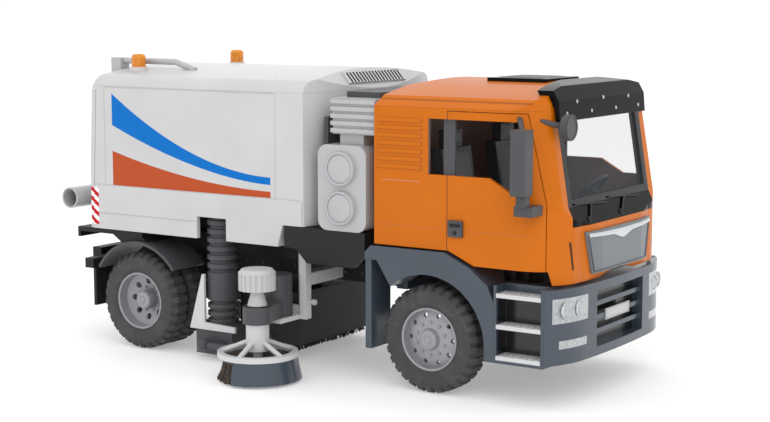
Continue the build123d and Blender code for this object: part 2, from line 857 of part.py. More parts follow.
def within_plan(shape, step):
    """What a shape shares with the plan, upright below the windscreen and leaning above its foot."""
    lower = shape & prism_z(cab_plan(step), 0, screen_foot_z)
    return lower + (shape & prism_z(cab_plan(step), screen_foot_z, roof_z + beyond, screen_lean))


def cab_hull(step):
    reach = cab_half + 5
    outline = prism_y(inset(cab_side, step), -reach, reach)
    return within_plan(outline & prism_x(cab_end(step), cab_rear - 5, nose_x + beyond), step)


hull = cab_hull(0.0)
room = cab_hull(wall)
skin = hull - room
floor_z = cab_floor - wall
shell = skin + (room & slab(cab_rear, nose_x, -cab_half, cab_half, floor_z, cab_floor))
underside = slab(door_rear + 2 * wall, nose_x, -cab_half, cab_half, 0, floor_z)
shell -= prism_z(cab_plan(wall), 0, floor_z) & underside

# Columns of the outlines: x, z. The door's front edge follows the windscreen pillar.
pillar_foot_z = screen_foot_z + 2.0
pillar_top_x = door_front - 12.0
door_outline = [(door_rear, door_sill - 2), (door_front, door_sill - 2), (door_front, pillar_foot_z),
                (pillar_top_x, door_top), (door_rear, door_top)]
window_rear = wheelbase
window_front = door_front - window_front_in
window_bend_z = window_sill - window_dip
window_outline = [(window_rear, window_sill), (window_front - 3 * window_dip, window_sill),
                  (window_front - window_dip - 2, window_bend_z), (window_front, window_bend_z),
                  (pillar_top_x - 4, window_top), (window_rear, window_top)]
side_out = -cab_half - 2
side_in = -cab_half + wall
door_gap = hull & prism_y(inset(door_outline, -seam / 2), side_out, -screen_half)
door_gap -= within_plan(door_gap, 2 * wall)
window_cut = prism_y(window_outline, side_out, side_in + 2)
door = hull & prism_y(inset(door_outline, seam / 2), side_out, -screen_half)
door -= within_plan(door, wall)
door -= window_cut

# Panels of the front, each a part of the hull's wall
band_z = screen_foot_z - band_h
roof_part = slab(cab_rear - 1, nose_x, -cab_half - 1, cab_half + 1, gutter_z, roof_z + 5)
screen_part = slab(pillar_top_x, nose_x + 1, -screen_half, screen_half, screen_foot_z, gutter_z)
band_part = slab(door_front, nose_x + 1, -screen_half, screen_half, band_z, screen_foot_z)
front_part = slab(door_front + 4, nose_x + 1, -screen_half, screen_half, 0, band_z)
cab_body = shell - roof_part - screen_part - band_part - front_part
for cut in pair(door_gap) + pair(window_cut):
    cab_body -= cut
for i in range(panel_ribs):
    z = window_sill + rib_pitch / 2 + i * rib_pitch
    rib = slab(cab_rear + rib_pitch / 2, window_rear - rib_pitch, -cab_half - rib_proud, -cab_half + rib_proud,
               z, z + 0.5 * rib_pitch)
    for side_rib in pair(rib):
        cab_body += side_rib
save("cab_body", cab_body)
save("cab_roof", shell & roof_part)
save("windscreen", shell & screen_part)
save("cab_front", shell & front_part)

# Grille plate on the nose, sun visor close to the windscreen, and roof hatch
grille_z = chin_z + grille_rise
grille_top = grille_z + grille_h
grille_outline = [(-grille_half + grille_taper, grille_z), (grille_half - grille_taper, grille_z),
                  (grille_half, grille_top), (-grille_half, grille_top)]
grille = prism_x(grille_outline, chin_x - 4, nose_x + grille_t)
grille &= prism_z(cab_plan(-grille_t), 0, roof_z)
save("grille", grille - hull)
visor_z = gutter_z - visor_drop
visor_x = screen_top_x + visor_reach
visor_outline = [(screen_top_x - 6, gutter_z + 4), (screen_top_x + 1.5, gutter_z + 2),
                 (visor_x - visor_t, visor_z), (visor_x, visor_z), (visor_x - 1, roof_edge_z - 1),
                 (screen_top_x - 1, roof_z - 1), (screen_top_x - 13, roof_z + 1.5)]
visor = prism_y(visor_outline, -visor_half, visor_half) & prism_x(cab_end(-visor_t), screen_top_x - beyond, nose_x)
save("screen_trim", visor - hull, shell & band_part)
hatch_x = wheelbase + hatch_ahead
save("roof_hatch", slab(hatch_x, hatch_x + hatch_len, -hatch_half, hatch_half,
                        roof_z - 2 * hatch_t, roof_z + hatch_t / 2) - hull)

# Inside of the cab: seats, dashboard, steering wheel and pillar linings
seat_x = wheelbase + seat_ahead
seat_front = seat_x + seat_len
seat_z = cab_floor + seat_h
back_z = cab_floor + seat_back_h
back_t = seat_len / 4
seat_y = seat_in + seat_w / 2
seat_outline = [(seat_x, cab_floor), (seat_front, cab_floor), (seat_front, seat_z), (seat_x + 10, seat_z - 2),
                (seat_x + back_t / 2, back_z), (seat_x - back_t / 2, back_z), (seat_x, seat_z - 4)]
seat = prism_y(seat_outline, -seat_in - seat_w, -seat_in)
seat += slab(seat_x - back_t / 2, seat_x + back_t / 2 - 1, -seat_y - headrest_half, -seat_y + headrest_half,
             back_z, back_z + headrest_h)
dash_top = screen_foot_z - 2.0
dash_front = door_front + 2
dash_rear = dash_front - dash_len
dash_outline = [(dash_rear, cab_floor), (dash_front, cab_floor), (dash_front, dash_top - 2),
                (dash_rear + dash_len / 2, dash_top), (dash_rear, dash_top - 6)]
dashboard = prism_y(dash_outline, -dash_half, dash_half) & cab_hull(wall + rest_gap)
wheel_at = Vector(dash_rear - 2, seat_y, dash_top + 4)
column_foot = Vector(dash_rear + 5, seat_y, dash_top - 4)
lean = Plane(origin=wheel_at, z_dir=wheel_at - column_foot)
steering = lean * Torus(wheel_r, wheel_wire)
steering += lean * Box(2 * wheel_r, 2 * wheel_wire, wheel_wire)
steering += strut(column_foot, wheel_at, wheel_wire)
lining = slab(door_rear - 4, door_rear + 4, side_in, side_in + pillar_t, cab_floor, door_top - 2)
save("cab_interior", *pair(seat), dashboard + steering, *pair(lining))

# Doors with a handle, the right one with a mirror on two arms, and the round mirror at the windscreen
mirror_x = wheelbase + mirror_ahead
mirror_z = window_sill - mirror_drop
mirror_in = mirror_out - mirror_w
mirror_top = mirror_z + mirror_h
foot_gap = mirror_w / 2
head = slab(mirror_x, mirror_x + mirror_depth, -mirror_out, -mirror_in, mirror_z, mirror_top)
head = fillet(head.edges().filter_by(Axis.Z), 3.0)
neck_z = mirror_z - foot_gap
head += slab(mirror_x - 1, door_front - 1, -mirror_in - 5, side_in, neck_z - foot_gap + 1, neck_z)
head += slab(mirror_x + 2, mirror_x + 8, -mirror_in - 8, -mirror_in - 2, neck_z, mirror_z)
head += strut((mirror_x - 5, side_in, window_top + 2.4), (mirror_x + 4, -mirror_in - 3, mirror_top - 4), arm_r)
head -= hull
handle_z = cab_floor + 6.0
handle_x = door_rear + 1.5
handle = slab(handle_x, handle_x + handle_l, -cab_half - handle_t, -cab_half, handle_z, handle_z + handle_l)
save("door_right", door)
save("door_left", across(door))
save("door_fittings_right", head, handle)
save("door_fittings_left", across(handle))
dish_x = visor_x + dish_r
dish_y = visor_half
dish_z = visor_z - 3.0
dish = rod_x(-dish_y, dish_z, dish_r, dish_x - dish_t, dish_x)
dish += strut((dish_x - dish_t, -dish_y, dish_z), (pillar_top_x + 5, -cab_half + 9, visor_z + 1), arm_r)
save("kerb_mirror", dish - hull)


# Container: drawn like the cab, as what its three views share
def rear_x(z):
    """The leaning rear face of the container."""
    return box_rear + box_lean * (z - box_z) / box_side_h


gate_hinge_x = rear_x(gate_top)
eave = 4.0
eave_in = 8.0
arch_low = box_crown - arch_drop
arch_x = box_front + box_bow + 1.0
box_side = [(box_rear, box_z), (skirt_front, box_z), (skirt_front + 4, skirt_step_z), (arch_x, skirt_step_z),
            (arch_x, arch_low), (arch_x - arch_run, box_crown + 1),
            (box_rear + box_lean + box_corner, box_crown + 1),
            (rear_x(box_side_top + eave) + 3, box_side_top + eave), (gate_hinge_x, gate_top)]


def box_plan(step):
    half = box_half - step
    rear = box_rear - 1 + step
    front = box_front - step
    return [(rear, -half + 2.5), (rear + 3, -half), (front, -half), (front + box_bow, 0, "arc"), (front, half),
            (rear + 3, half), (rear, half - 2.5)]


def box_end(step):
    half = box_half - step
    top = box_side_top - step
    return [(-half, 0), (half, 0), (half, top + step - eave), (half - 2.3, top + 1.7, "arc"),
            (half - eave_in, top + 5), (0, top + crown_rise, "arc"), (eave_in - half, top + 5),
            (2.3 - half, top + 1.7, "arc"), (-half, top + step - eave)]


def box_hull(step):
    reach = box_half + 5
    form = prism_y(inset(box_side, step), -reach, reach)
    form &= prism_z(box_plan(step), 0, box_crown + 10)
    return form & prism_x(box_end(step), box_rear - 10, arch_x + 10)


box_form = box_hull(0.0)
load_space = box_hull(wall) - slab(box_rear - 1, arch_x, -box_half, box_half, 0, load_floor + wall)
under_space = slab(box_rear - 1, skirt_front - wall, -box_half + wall, box_half - wall, 0, load_floor)
gate_outline = [(rear_x(0) - 1, 0), (rear_x(0) + gate_t, 0), (gate_hinge_x + gate_t, gate_top),
                (gate_hinge_x - 1, gate_top)]
skirt_outline = [(rear_x(box_z) + gate_t + 1, box_z), (skirt_front, box_z), (skirt_front + 4, skirt_step_z),
                 (box_front - 1, skirt_step_z), (box_front - 1, skirt_top),
                 (rear_x(skirt_top) + gate_t + 1, skirt_top)]
container = box_form - load_space - under_space
container -= prism_y(inset(gate_outline, -seam), -box_half - 5, box_half + 5)
for skirt in pair(prism_y(skirt_outline, -box_half - skirt_proud, -box_half + wall / 2)):
    container += skirt
container -= slab(hose_x - notch_behind, hose_x + notch_ahead, -box_half - 5, box_half + 5,
                  0, skirt_step_z + step_gap)
roof_seam = box_side_top - roof_seam_drop
top_part = slab(box_rear - 5, arch_x + 5, -box_half - 5, box_half + 5, roof_seam, box_crown + 5)
save("container_walls", container - top_part)
save("container_roof", container & top_part)
save("tail_gate", box_form & prism_y(gate_outline, -box_half, box_half))

# Vent along the front arch of the roof, with slots
rise = Vector(-arch_run, arch_drop + 1)
along = rise / rise.length
outward = Vector(along.Y, -along.X)


def arch_band(start, end, low, high):
    """Outline on the roof's sloping front: shares of its length, heights above it."""
    corners = [(start, low), (start, high), (end, high), (end, low)]
    spots = [Vector(arch_x, arch_low) + rise * share + outward * height for share, height in corners]
    return [(spot.X, spot.Y) for spot in spots]


vent = prism_y(arch_band(0.28, 0.78, 0, vent_t), -vent_half, vent_half)
slot_pitch = 2 * vent_half / (vent_slots + 1)
for i in range(vent_slots):
    y = -vent_half + (i + 1) * slot_pitch
    vent -= prism_y(arch_band(0.34, 0.72, vent_t / 3, 2 * vent_t), y - slot_pitch / 4, y + slot_pitch / 4)
save("front_vent", vent)

# Roof: a pair of amber beacons at the rear, and a bent rail on the right
beacon_x = box_rear + beacon_ahead
beacon_y = box_half - beacon_in
beacon_top = box_crown + beacon_rise
beacon_foot = box_side_top + beacon_rise + beacon_base_h
dome = rod_z(beacon_x, -beacon_y, beacon_r, box_side_top, beacon_top)
dome = fillet(dome.edges().group_by(Axis.Z)[-1], beacon_r / 2)
dome += rod_z(beacon_x, -beacon_y, beacon_base_r, box_side_top, beacon_foot)
save("beacons", *pair(dome - box_form))
bar_y = box_half - bar_in
bar_z = box_crown + bar_rise
bar_rear = box_rear - 1.0
bar_bend = bar_rear + bar_len
rail = rod_x(-bar_y, bar_z, bar_r, bar_rear, bar_bend)
rail += strut((bar_bend, -bar_y, bar_z), (bar_bend + bar_run_down, -bar_y, box_side_top + eave_in), bar_r)
rail += Pos(bar_bend, -bar_y, bar_z) * Sphere(bar_r)
rail += slab(bar_rear, bar_rear + bar_block, -bar_y - bar_block / 2, -bar_y + bar_block / 2,
             box_side_top, bar_z + bar_r)
save("roof_rail", rail - box_form)

# Outlet pipe on the gate, its mouth to the right
pipe = rod_y(pipe_x, pipe_z, pipe_r, -pipe_mouth, -pipe_end)
pipe += Pos(pipe_x, -pipe_end, pipe_z) * Sphere(pipe_r)
pipe += rod_x(-pipe_end, pipe_z, pipe_r, pipe_x, box_rear + gate_t)
pipe -= rod_y(pipe_x, pipe_z, pipe_r - pipe_wall, -pipe_mouth - 1, -pipe_end - pipe_r)
save("outlet_pipe", pipe - box_form)

# Roller brush in a housing that hangs from the rails
housing = slab(housing_rear, housing_front, -housing_half, housing_half, housing_z, housing_top)
housing -= slab(housing_rear + wall, housing_front - wall, -housing_half + wall, housing_half - wall,
                0, housing_top - wall)
housing -= rod_y(roller_x, roller_z, shaft_r + turn_gap, -housing_half - 1, housing_half + 1)
for x in (housing_rear + cross_w, housing_front - cross_w):
    for post in pair(slab(x - post_w / 2, x + post_w / 2, -rail_out, -rail_in, housing_top, rail_z)):
        housing += post
save("roller_housing", housing)
save("roller_brush", rod_y(roller_x, roller_z, roller_r, -roller_half, roller_half)
     + rod_y(roller_x, roller_z, shaft_r, -housing_half, housing_half))

# Suction mouth with its guide bar, and the bellows hose on it
mouth = slab(mouth_rear, mouth_front, -mouth_out, -housing_half, mouth_z, hose_foot)
mouth -= slab(mouth_rear + wall, mouth_front - wall, -mouth_out + wall, -housing_half - wall,
              0, hose_foot - wall)
guide_y = -mouth_out - guide_out
guide_x = hose_x + 9.0
guide = rod_x(guide_y, guide_z, guide_r, guide_x - guide_half, guide_x + guide_half)
for x in (guide_x - guide_half, guide_x + guide_half):
    guide += Pos(x, guide_y, guide_z) * Sphere(guide_knob_r)
guide += slab(guide_x - 2 * guide_r, guide_x + guide_r, guide_y, -mouth_out,
              guide_z - guide_r / 2, guide_z + guide_r / 2)
save("suction_mouth", mouth + guide)
cuff_z = hose_foot + cuff_rise
hose_points = [(0, hose_foot), (hose_r, hose_foot)]
# Columns: lower end, upper end
for low, high in ((hose_foot, cuff_z), (cuff_z + cuff_h, hose_top)):
    folds = int((high - low) / hose_pitch)
    step = (high - low) / folds
    for i in range(folds):
        z = low + i * step
        hose_points += [(hose_r, z + 0.5 * step), (hose_r - hose_groove, z + 0.65 * step),
                        (hose_r - hose_groove, z + 0.85 * step), (hose_r, z + step)]
hose_points += [(0, hose_top)]
save("suction_hose", Pos(hose_x, -hose_y, 0) * spun_z(hose_points))

# Bright frame: hose guard on the mouth, and the bracket that carries the brush arm
guard_foot = hose_foot - 4.0
guard_x = hose_x - 6.0
guard_top = guard_foot + guard_plate_h
hose_guard = prism_y([(mouth_rear - 4, guard_foot), (mouth_front + 4, guard_foot), (mouth_front + 4, hose_foot),
                      (guard_x, hose_foot + 1), (guard_x, guard_top), (guard_x - guard_plate_t, guard_top)],
                     -mouth_out - guard_plate_t, -mouth_out)
plate_y = -swing_y + boss_r + 1.0
plate_front = swing_x + bracket_ahead
plate_top = rail_top + boss_r
shelf_low = boss_z - rest_gap - bracket_t
post_rear = plate_front - bracket_t
post_front = plate_front + post_w
bracket = slab(swing_x - bracket_behind, post_front, plate_y, plate_y + bracket_t, shelf_low, boss_z + post_w)
bracket += slab(post_rear, post_front, plate_y, plate_y + bracket_t, shelf_low, plate_top)
bracket += slab(plate_front, post_front, plate_y - bracket_t, plate_y + 1, shelf_low, plate_top)
bracket += slab(swing_x - boss_r - bracket_t, plate_front, -swing_y - boss_r - 1, plate_y + 1,
                shelf_low, boss_z - rest_gap)
bracket += slab(post_rear, post_front, plate_y, -rail_out, rail_z + cross_inset, rail_top - cross_inset)
bracket += rod_z(swing_x, -swing_y, pin_r, boss_z - rest_gap, boss_z + boss_h - pin_r)
save("brush_frame", hose_guard, bracket)

# Swinging arm: boss on the pin, link and collar over the brush
arm_run = sqrt(arm_ahead**2 + arm_out**2)
link_half = collar_r - 1.5
aside_x = link_half * arm_out / arm_run
aside_y = link_half * arm_ahead / arm_run
link = [(swing_x + aside_x, -swing_y + aside_y), (swing_x - aside_x, -swing_y - aside_y),
        (brush_x - aside_x, -brush_y - aside_y), (brush_x + aside_x, -brush_y + aside_y)]
arm = rod_z(swing_x, -swing_y, boss_r, boss_z, boss_z + boss_h)
arm += prism_z(link, collar_z, collar_top)
arm += rod_z(brush_x, -brush_y, collar_r, collar_z, collar_top)
arm -= rod_z(swing_x, -swing_y, pin_r + turn_gap, boss_z - 1, boss_z + boss_h - pin_r + 1)
spindle_hole = rod_z(brush_x, -brush_y, spindle_r + turn_gap, 0, knob_z)
save("brush_arm", arm - spindle_hole)

# Guard ring on spokes below the collar, with a half skirt on its front
bristle_top = ground_gap + brush_h
ring_z = bristle_top + rest_gap
ring_in = guard_r - guard_w / 2
ring_out = guard_r + guard_w / 2
ring_top = ring_z + guard_t
ring = spun_z([(ring_in, ring_z), (ring_out, ring_z), (ring_out, ring_top), (ring_in, ring_top)])
ring += rod_z(0, 0, hub_col_r, ring_z + guard_t, collar_z)
for i in range(guard_spokes):
    turn = radians(360 * i / guard_spokes + 60)
    root = 0.6 * hub_col_r
    ring += strut((root * cos(turn), root * sin(turn), ring_z + 10),
                  (guard_r * cos(turn), guard_r * sin(turn), ring_z + guard_t / 2), spoke_r)
save("brush_guard", Pos(brush_x, -brush_y, 0) * ring - spindle_hole)
half_skirt = spun_z([(brush_r - skirt_t, ground_gap + 1), (brush_r, ground_gap + 1), (brush_top_r, ring_z),
                     (brush_top_r - skirt_t, ring_z)])
half_skirt &= slab(0, brush_r, -brush_r, brush_r, 0, ring_z)
save("guard_skirt", Pos(brush_x, -brush_y, 0) * half_skirt)

# Turning brush: knob on a tapered neck, spindle and bristle ring
bristle_in = skirt_t + end_play
hole_top = bristle_top - 2 * bracket_t + 1
bristles = spun_z([(0, hole_top), (bristle_hole_r, hole_top), (bristle_hole_r + 2, ground_gap),
                   (brush_r - bristle_in, ground_gap), (brush_top_r - bristle_in, bristle_top),
                   (0, bristle_top)])
save("brush_bristles", Pos(brush_x, -brush_y, 0) * bristles)
knob_top = knob_z + knob_h
knob = spun_z([(0, bristle_top), (spindle_r, bristle_top), (spindle_r, collar_top + end_play),
               (neck_r, collar_top + end_play), (0.55 * neck_r, knob_z), (knob_r, knob_z),
               (knob_r, knob_top - knob_edge), (knob_r - knob_edge, knob_top), (0, knob_top)])
for i in range(knob_ribs):
    turn = radians(360 * i / knob_ribs)
    knob -= rod_z(knob_r * cos(turn), knob_r * sin(turn), knob_rib_r, knob_z - 1, knob_top - 1.5 * knob_edge)
save("brush_knob", Pos(brush_x, -brush_y, 0) * knob)
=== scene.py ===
# %% [markdown]
# # A toy street sweeper truck
#
# The solids of this truck come from a CAD model: the cab, the container, the wheels and the brushes
# are already the right size and in the right place. This lesson dresses them. It gives every solid a
# finish, and it adds what is too fine for the solids: tread, bristles, wheel nuts, lamp glass, wipers
# and stripes. Nothing from the CAD model is moved or cut, so each new piece has to fit it.

# %% Load the solids
import json
import math
import random

import bmesh
import bpy
from mathutils import Matrix, Vector


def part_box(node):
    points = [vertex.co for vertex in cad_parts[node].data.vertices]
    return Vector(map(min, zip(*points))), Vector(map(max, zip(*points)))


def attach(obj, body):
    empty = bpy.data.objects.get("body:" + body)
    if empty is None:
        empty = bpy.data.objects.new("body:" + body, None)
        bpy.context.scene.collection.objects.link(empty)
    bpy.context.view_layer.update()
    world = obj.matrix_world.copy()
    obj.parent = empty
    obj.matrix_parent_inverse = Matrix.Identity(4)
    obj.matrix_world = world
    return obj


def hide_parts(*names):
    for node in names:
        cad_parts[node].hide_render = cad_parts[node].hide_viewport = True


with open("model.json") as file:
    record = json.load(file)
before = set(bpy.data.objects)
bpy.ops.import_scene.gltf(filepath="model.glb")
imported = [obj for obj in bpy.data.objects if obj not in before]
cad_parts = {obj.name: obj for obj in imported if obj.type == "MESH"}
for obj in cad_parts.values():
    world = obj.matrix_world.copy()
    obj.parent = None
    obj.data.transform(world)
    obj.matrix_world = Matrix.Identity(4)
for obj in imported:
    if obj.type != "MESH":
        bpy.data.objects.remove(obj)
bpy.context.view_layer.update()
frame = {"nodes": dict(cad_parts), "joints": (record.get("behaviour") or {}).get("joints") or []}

# %% [markdown]
# ## A ruler for the truck
#
# It is easier to think in millimetres on the truck than in metres in the frame. The joints say where
# the axles are, so the rear axle can be the zero of x, the middle between its wheels the zero of y,
# and the ground the zero of z. `at` turns such millimetres into a point of the frame.

# %% A ruler for the truck
joints = {joint["name"]: Vector(joint["pos_m"]) for joint in frame["joints"]}
rear_axle = (joints["rear_right_spin"] + joints["rear_left_spin"]) / 2
MM = 0.001


def at(x, y, z):
    """Point of the frame, in metres, from millimetres on the truck."""
    return Vector((rear_axle.x + x * MM, rear_axle.y + y * MM, z * MM))


def node_box(name):
    """Lowest and highest corner of a CAD node in millimetres on the truck."""
    zero = at(0, 0, 0)
    return [(corner - zero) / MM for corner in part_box(name)]


wheelbase = (joints["front_right_spin"].x - rear_axle.x) / MM
print("wheelbase, mm:", round(wheelbase, 1))

# %% [markdown]
# ## Shader sums in plain Python
#
# A shader is a graph of nodes, and a graph is hard to read. This class wraps one socket, so that
# `1 - mask` or `height * 0.3` adds the Math node for us. The reflected forms, such as `__rsub__`, are
# what Python calls when the plain number stands on the left.


# %% Shader sums in plain Python
def math_node(operation):
    """A method that sends a wire, and a number or another wire, through one Math node."""
    def method(wire, other=0.0):
        return wire.finish.node("ShaderNodeMath", {"operation": operation}, {0: wire, 1: other})
    return method


class Wire:
    """An output socket that takes part in Python sums."""

    def __init__(self, finish, socket):
        self.finish = finish
        self.socket = socket

    def __rsub__(self, number):
        return self.finish.node("ShaderNodeMath", {"operation": "SUBTRACT"}, {0: number, 1: self})

    __add__ = __radd__ = math_node("ADD")
    __sub__ = math_node("SUBTRACT")
    __mul__ = __rmul__ = math_node("MULTIPLY")
    __truediv__ = math_node("DIVIDE")
    __gt__ = math_node("GREATER_THAN")
    __lt__ = math_node("LESS_THAN")
    __abs__ = math_node("ABSOLUTE")
    least = math_node("MINIMUM")
    most = math_node("MAXIMUM")
    wrap = math_node("FLOORED_MODULO")
    power = math_node("POWER")


print("wires add, subtract, multiply, divide and compare")

# %% [markdown]
# ## One finish, one material
#
# A finish is one Principled shader and a few nodes that lead to it. Every node, be it a noise, a mix or a
# sum, comes from the one method `node`: first the type, then its settings, which can change the sockets it
# has, then what goes into them. `bump` also rounds the edges in the light, as a mould does, without any
# change to the mesh.

# %% One finish, one material
EDGE_ROUND = 0.6


def linear(red, green, blue):
    """A colour of the shader from the 0 to 255 numbers of a picture."""
    return tuple((c / 255 / 12.92 if c < 10.3 else ((c / 255 + 0.055) / 1.055) ** 2.4)
                 for c in (red, green, blue)) + (1.0,)


class Finish:
    """One material: a Principled shader, and the nodes that lead to it."""

    def __init__(self, name, **constants):
        self.material = bpy.data.materials.new(name)
        self.material.use_nodes = True
        self.tree = self.material.node_tree
        self.shader = self.tree.nodes["Principled BSDF"]
        for socket, value in constants.items():
            title = socket.replace("_", " ").title().replace("Ior", "IOR")
            self.shader.inputs[title].default_value = value

    def node(self, kind, settings, sockets, output=0):
        made = self.tree.nodes.new(kind)
        for key, value in settings.items():
            setattr(made, key, value)
        for key, value in sockets.items():
            if isinstance(value, Wire):
                self.tree.links.new(value.socket, made.inputs[key])
            else:
                made.inputs[key].default_value = value
        return Wire(self, made.outputs[output])

    def place(self):
        """Where on the truck a point is: x, y and z in millimetres."""
        where = self.node("ShaderNodeTexCoord", {}, {}, "Object")
        moved = self.node("ShaderNodeVectorMath", {"operation": "SUBTRACT"}, {0: where, 1: at(0, 0, 0)})
        return self.node("ShaderNodeVectorMath", {"operation": "SCALE"}, {0: moved, "Scale": 1 / MM})

    def axes(self):
        """The three numbers of `place`."""
        where = self.place()
        return [self.node("ShaderNodeSeparateXYZ", {}, {0: where}, axis) for axis in "XYZ"]

    def noise(self, size, detail=2.0):
        """Soft noise from 0 to 1 whose blotches are about size millimetres wide."""
        return self.node("ShaderNodeTexNoise", {},
                         {"Vector": self.place(), "Scale": 1 / size, "Detail": detail})

    def mix(self, share, first, second):
        """A colour between two colours."""
        return self.node("ShaderNodeMix", {"data_type": "RGBA"}, {0: share, 6: first, 7: second}, 2)

    def bump(self, height):
        """A normal from a height in millimetres, with the edges of the mesh rounded off."""
        rounded = self.node("ShaderNodeBevel", {"samples": 6}, {"Radius": EDGE_ROUND * MM})
        return self.node("ShaderNodeBump", {},
                         {"Strength": 1.0, "Distance": MM, "Height": height, "Normal": rounded})

    def feed(self, socket, wire):
        self.tree.links.new(wire.socket, self.shader.inputs[socket])


print("a mid grey of a picture in the shader:", round(linear(128, 128, 128)[0], 3))

# %% [markdown]
# ## Camera
#
# The photograph was taken with a long lens from the front right, a little above the roof. Three long
# edges of the truck that meet at right angles are enough to work out where the camera stood. The lens
# is given for Blender's 36 mm sensor, whose width is the picture's width.

# %% Camera
PICTURE_WIDTH = 770
FOCAL_PIXELS = 1616.5
CAMERA_SPOT = (754.1, -909.7, 242.5)
CAMERA_DOWN = 7.45
CAMERA_LEFT = 33.35
SENSOR = 36.0
scene = bpy.context.scene


def plain_object(name, data):
    """A new object in the scene from a mesh, a camera or a lamp."""
    made = bpy.data.objects.new(name, data)
    scene.collection.objects.link(made)
    return made


eye_data = bpy.data.cameras.new("photo_camera")
eye_data.sensor_width = SENSOR
eye_data.lens = FOCAL_PIXELS / PICTURE_WIDTH * SENSOR
eye_data.clip_start = 0.01
eye = plain_object("photo_camera", eye_data)
eye.location = at(*CAMERA_SPOT)
eye.rotation_euler = (math.radians(90 - CAMERA_DOWN), 0, math.radians(CAMERA_LEFT))
scene.camera = eye
print("lens, mm:", round(eye_data.lens, 2))

# %% [markdown]
# ## Floor
#
# The truck stands on a white sweep in a light tent, so its shadows are short and soft. A pale plane does
# for the sweep. It glows a little, like a table lit from below, which keeps the shadow light. A bent
# sheet with a wall behind would show the same, since the plane reaches far past the picture.

# %% Floor
FLOOR_HALF = 12.0
floor_mesh = bpy.data.meshes.new("floor")
floor_corners = [(sx * FLOOR_HALF, sy * FLOOR_HALF, 0) for sx, sy in ((-1, -1), (1, -1), (1, 1), (-1, 1))]
floor_mesh.from_pydata(floor_corners, [], [(0, 1, 2, 3)])
floor = plain_object("floor", floor_mesh)
PAPER_GLOW = 0.3
PAPER_TONES = ((0.74, 0.74, 0.74, 1), (0.77, 0.77, 0.77, 1))
paper = Finish("white_paper", roughness=0.7, specular_ior_level=0.2, emission_color=(1, 1, 1, 1),
               emission_strength=PAPER_GLOW)
paper.feed("Base Color", paper.mix(paper.noise(40.0), *PAPER_TONES))
floor.data.materials.append(paper.material)
print("floor, m:", 2 * FLOOR_HALF)

# %% [markdown]
# ## Light
#
# The walls of a light tent shine evenly, and a bright white sky stands for them. Three area lamps shape
# the body: a large one above, a key lamp from the front right and a weak fill from behind. The plain view
# transform keeps the colours as bright as they are painted.

# %% Light
SKY_STRENGTH = 1.05
sky = bpy.data.worlds.new("tent")
sky.use_nodes = True
tent_wall = sky.node_tree.nodes["Background"]
tent_wall.inputs["Color"].default_value = (1.0, 1.0, 1.0, 1)
tent_wall.inputs["Strength"].default_value = SKY_STRENGTH
scene.world = sky
scene.view_settings.view_transform = "Standard"

LAMP_AIM = (130, 0, 80)
# Columns: name, place in mm, size in mm, watts
LAMPS = [("top_lamp", (120, -60, 900), 900, 1.0),
         ("key_lamp", (800, -700, 650), 500, 1.6),
         ("fill_lamp", (-700, 600, 500), 700, 0.4)]
for name, spot, size, watts in LAMPS:
    lamp_data = bpy.data.lights.new(name, "AREA")
    lamp_data.size = size * MM
    lamp_data.energy = watts
    lamp = plain_object(name, lamp_data)
    lamp.location = at(*spot)
    lamp.rotation_euler = (at(*LAMP_AIM) - lamp.location).to_track_quat("-Z", "Y").to_euler()
print("lamps:", len(LAMPS))

# %% [markdown]
# ## Moulded plastic
#
# Nearly all of this toy is coloured plastic from a mould. It is never one flat colour: the shade drifts a
# little, the gloss changes where fingers have been, and a fine grain breaks up the reflections. One class
# makes that base, and later cells paint stripes and grooves on top. `relief` is a height in millimetres.

# %% Moulded plastic
CLOUD_SIZE = 28.0
DARKER, LIGHTER = 0.93, 1.06


def shade(colour, factor):
    """A lighter or darker copy of a shader colour."""
    return tuple(min(1.0, c * factor) for c in colour[:3]) + (1.0,)


class Plastic(Finish):
    """A finish with a tone, a roughness and a relief that later cells add to."""

    def __init__(self, name, colour, rough, grain, depth, **constants):
        super().__init__(name, **{"specular_ior_level": 0.3, **constants})
        cloud = self.noise(CLOUD_SIZE)
        grit = self.noise(grain, 3.0)
        self.tone = self.mix(cloud, shade(colour, DARKER), shade(colour, LIGHTER))
        self.rough = rough + 0.1 * (cloud - 0.5) + 0.12 * (grit - 0.5)
        self.relief = grit * depth

    def paint(self, mask, colour):
        """Another colour where the mask is 1."""
        self.tone = self.mix(mask, self.tone, colour)
        return self

    def groove(self, mask, depth, dark):
        """A groove where the mask is 1: lower, and darkened by painted shade."""
        self.relief = self.relief - mask * depth
        self.tone = self.mix(mask * dark, self.tone, (0.0, 0.0, 0.0, 1.0))

    def highlit_ridge(self, mask, height, highlight):
        """A raised line where the mask is 1, with a painted highlight along it."""
        self.relief = self.relief + mask * height
        self.tone = self.mix(mask * highlight, self.tone, (1.0, 1.0, 1.0, 1.0))

    def close(self):
        """Lead the tone, the roughness and the relief to the shader."""
        self.feed("Base Color", self.tone)
        self.feed("Roughness", self.rough)
        self.feed("Normal", self.bump(self.relief))
        return self


print("shade drifts from", DARKER, "to", LIGHTER)

# %% [markdown]
# ## Plain plastics
#
# The chassis, the fenders, the frames and the tanks each have one colour, so a table is enough for them.
# The slate plastic is the exception: the back of the step boxes and the space behind the slats of the bumper
# lie in deep shade, which is painted nearly black. They could be pieces of their own. A box in millimetres
# that picks them out is simpler.


# %% Plain plastics
def within(value, low, high):
    """1 where a wire is between two numbers, otherwise 0."""
    return (value > low) * (value < high)


def inside(finish, low, high):
    """1 in the box between two corners in millimetres on the truck, otherwise 0."""
    along, across, up = [within(*limits) for limits in zip(finish.axes(), low, high)]
    return along * across * up


finishes = {}
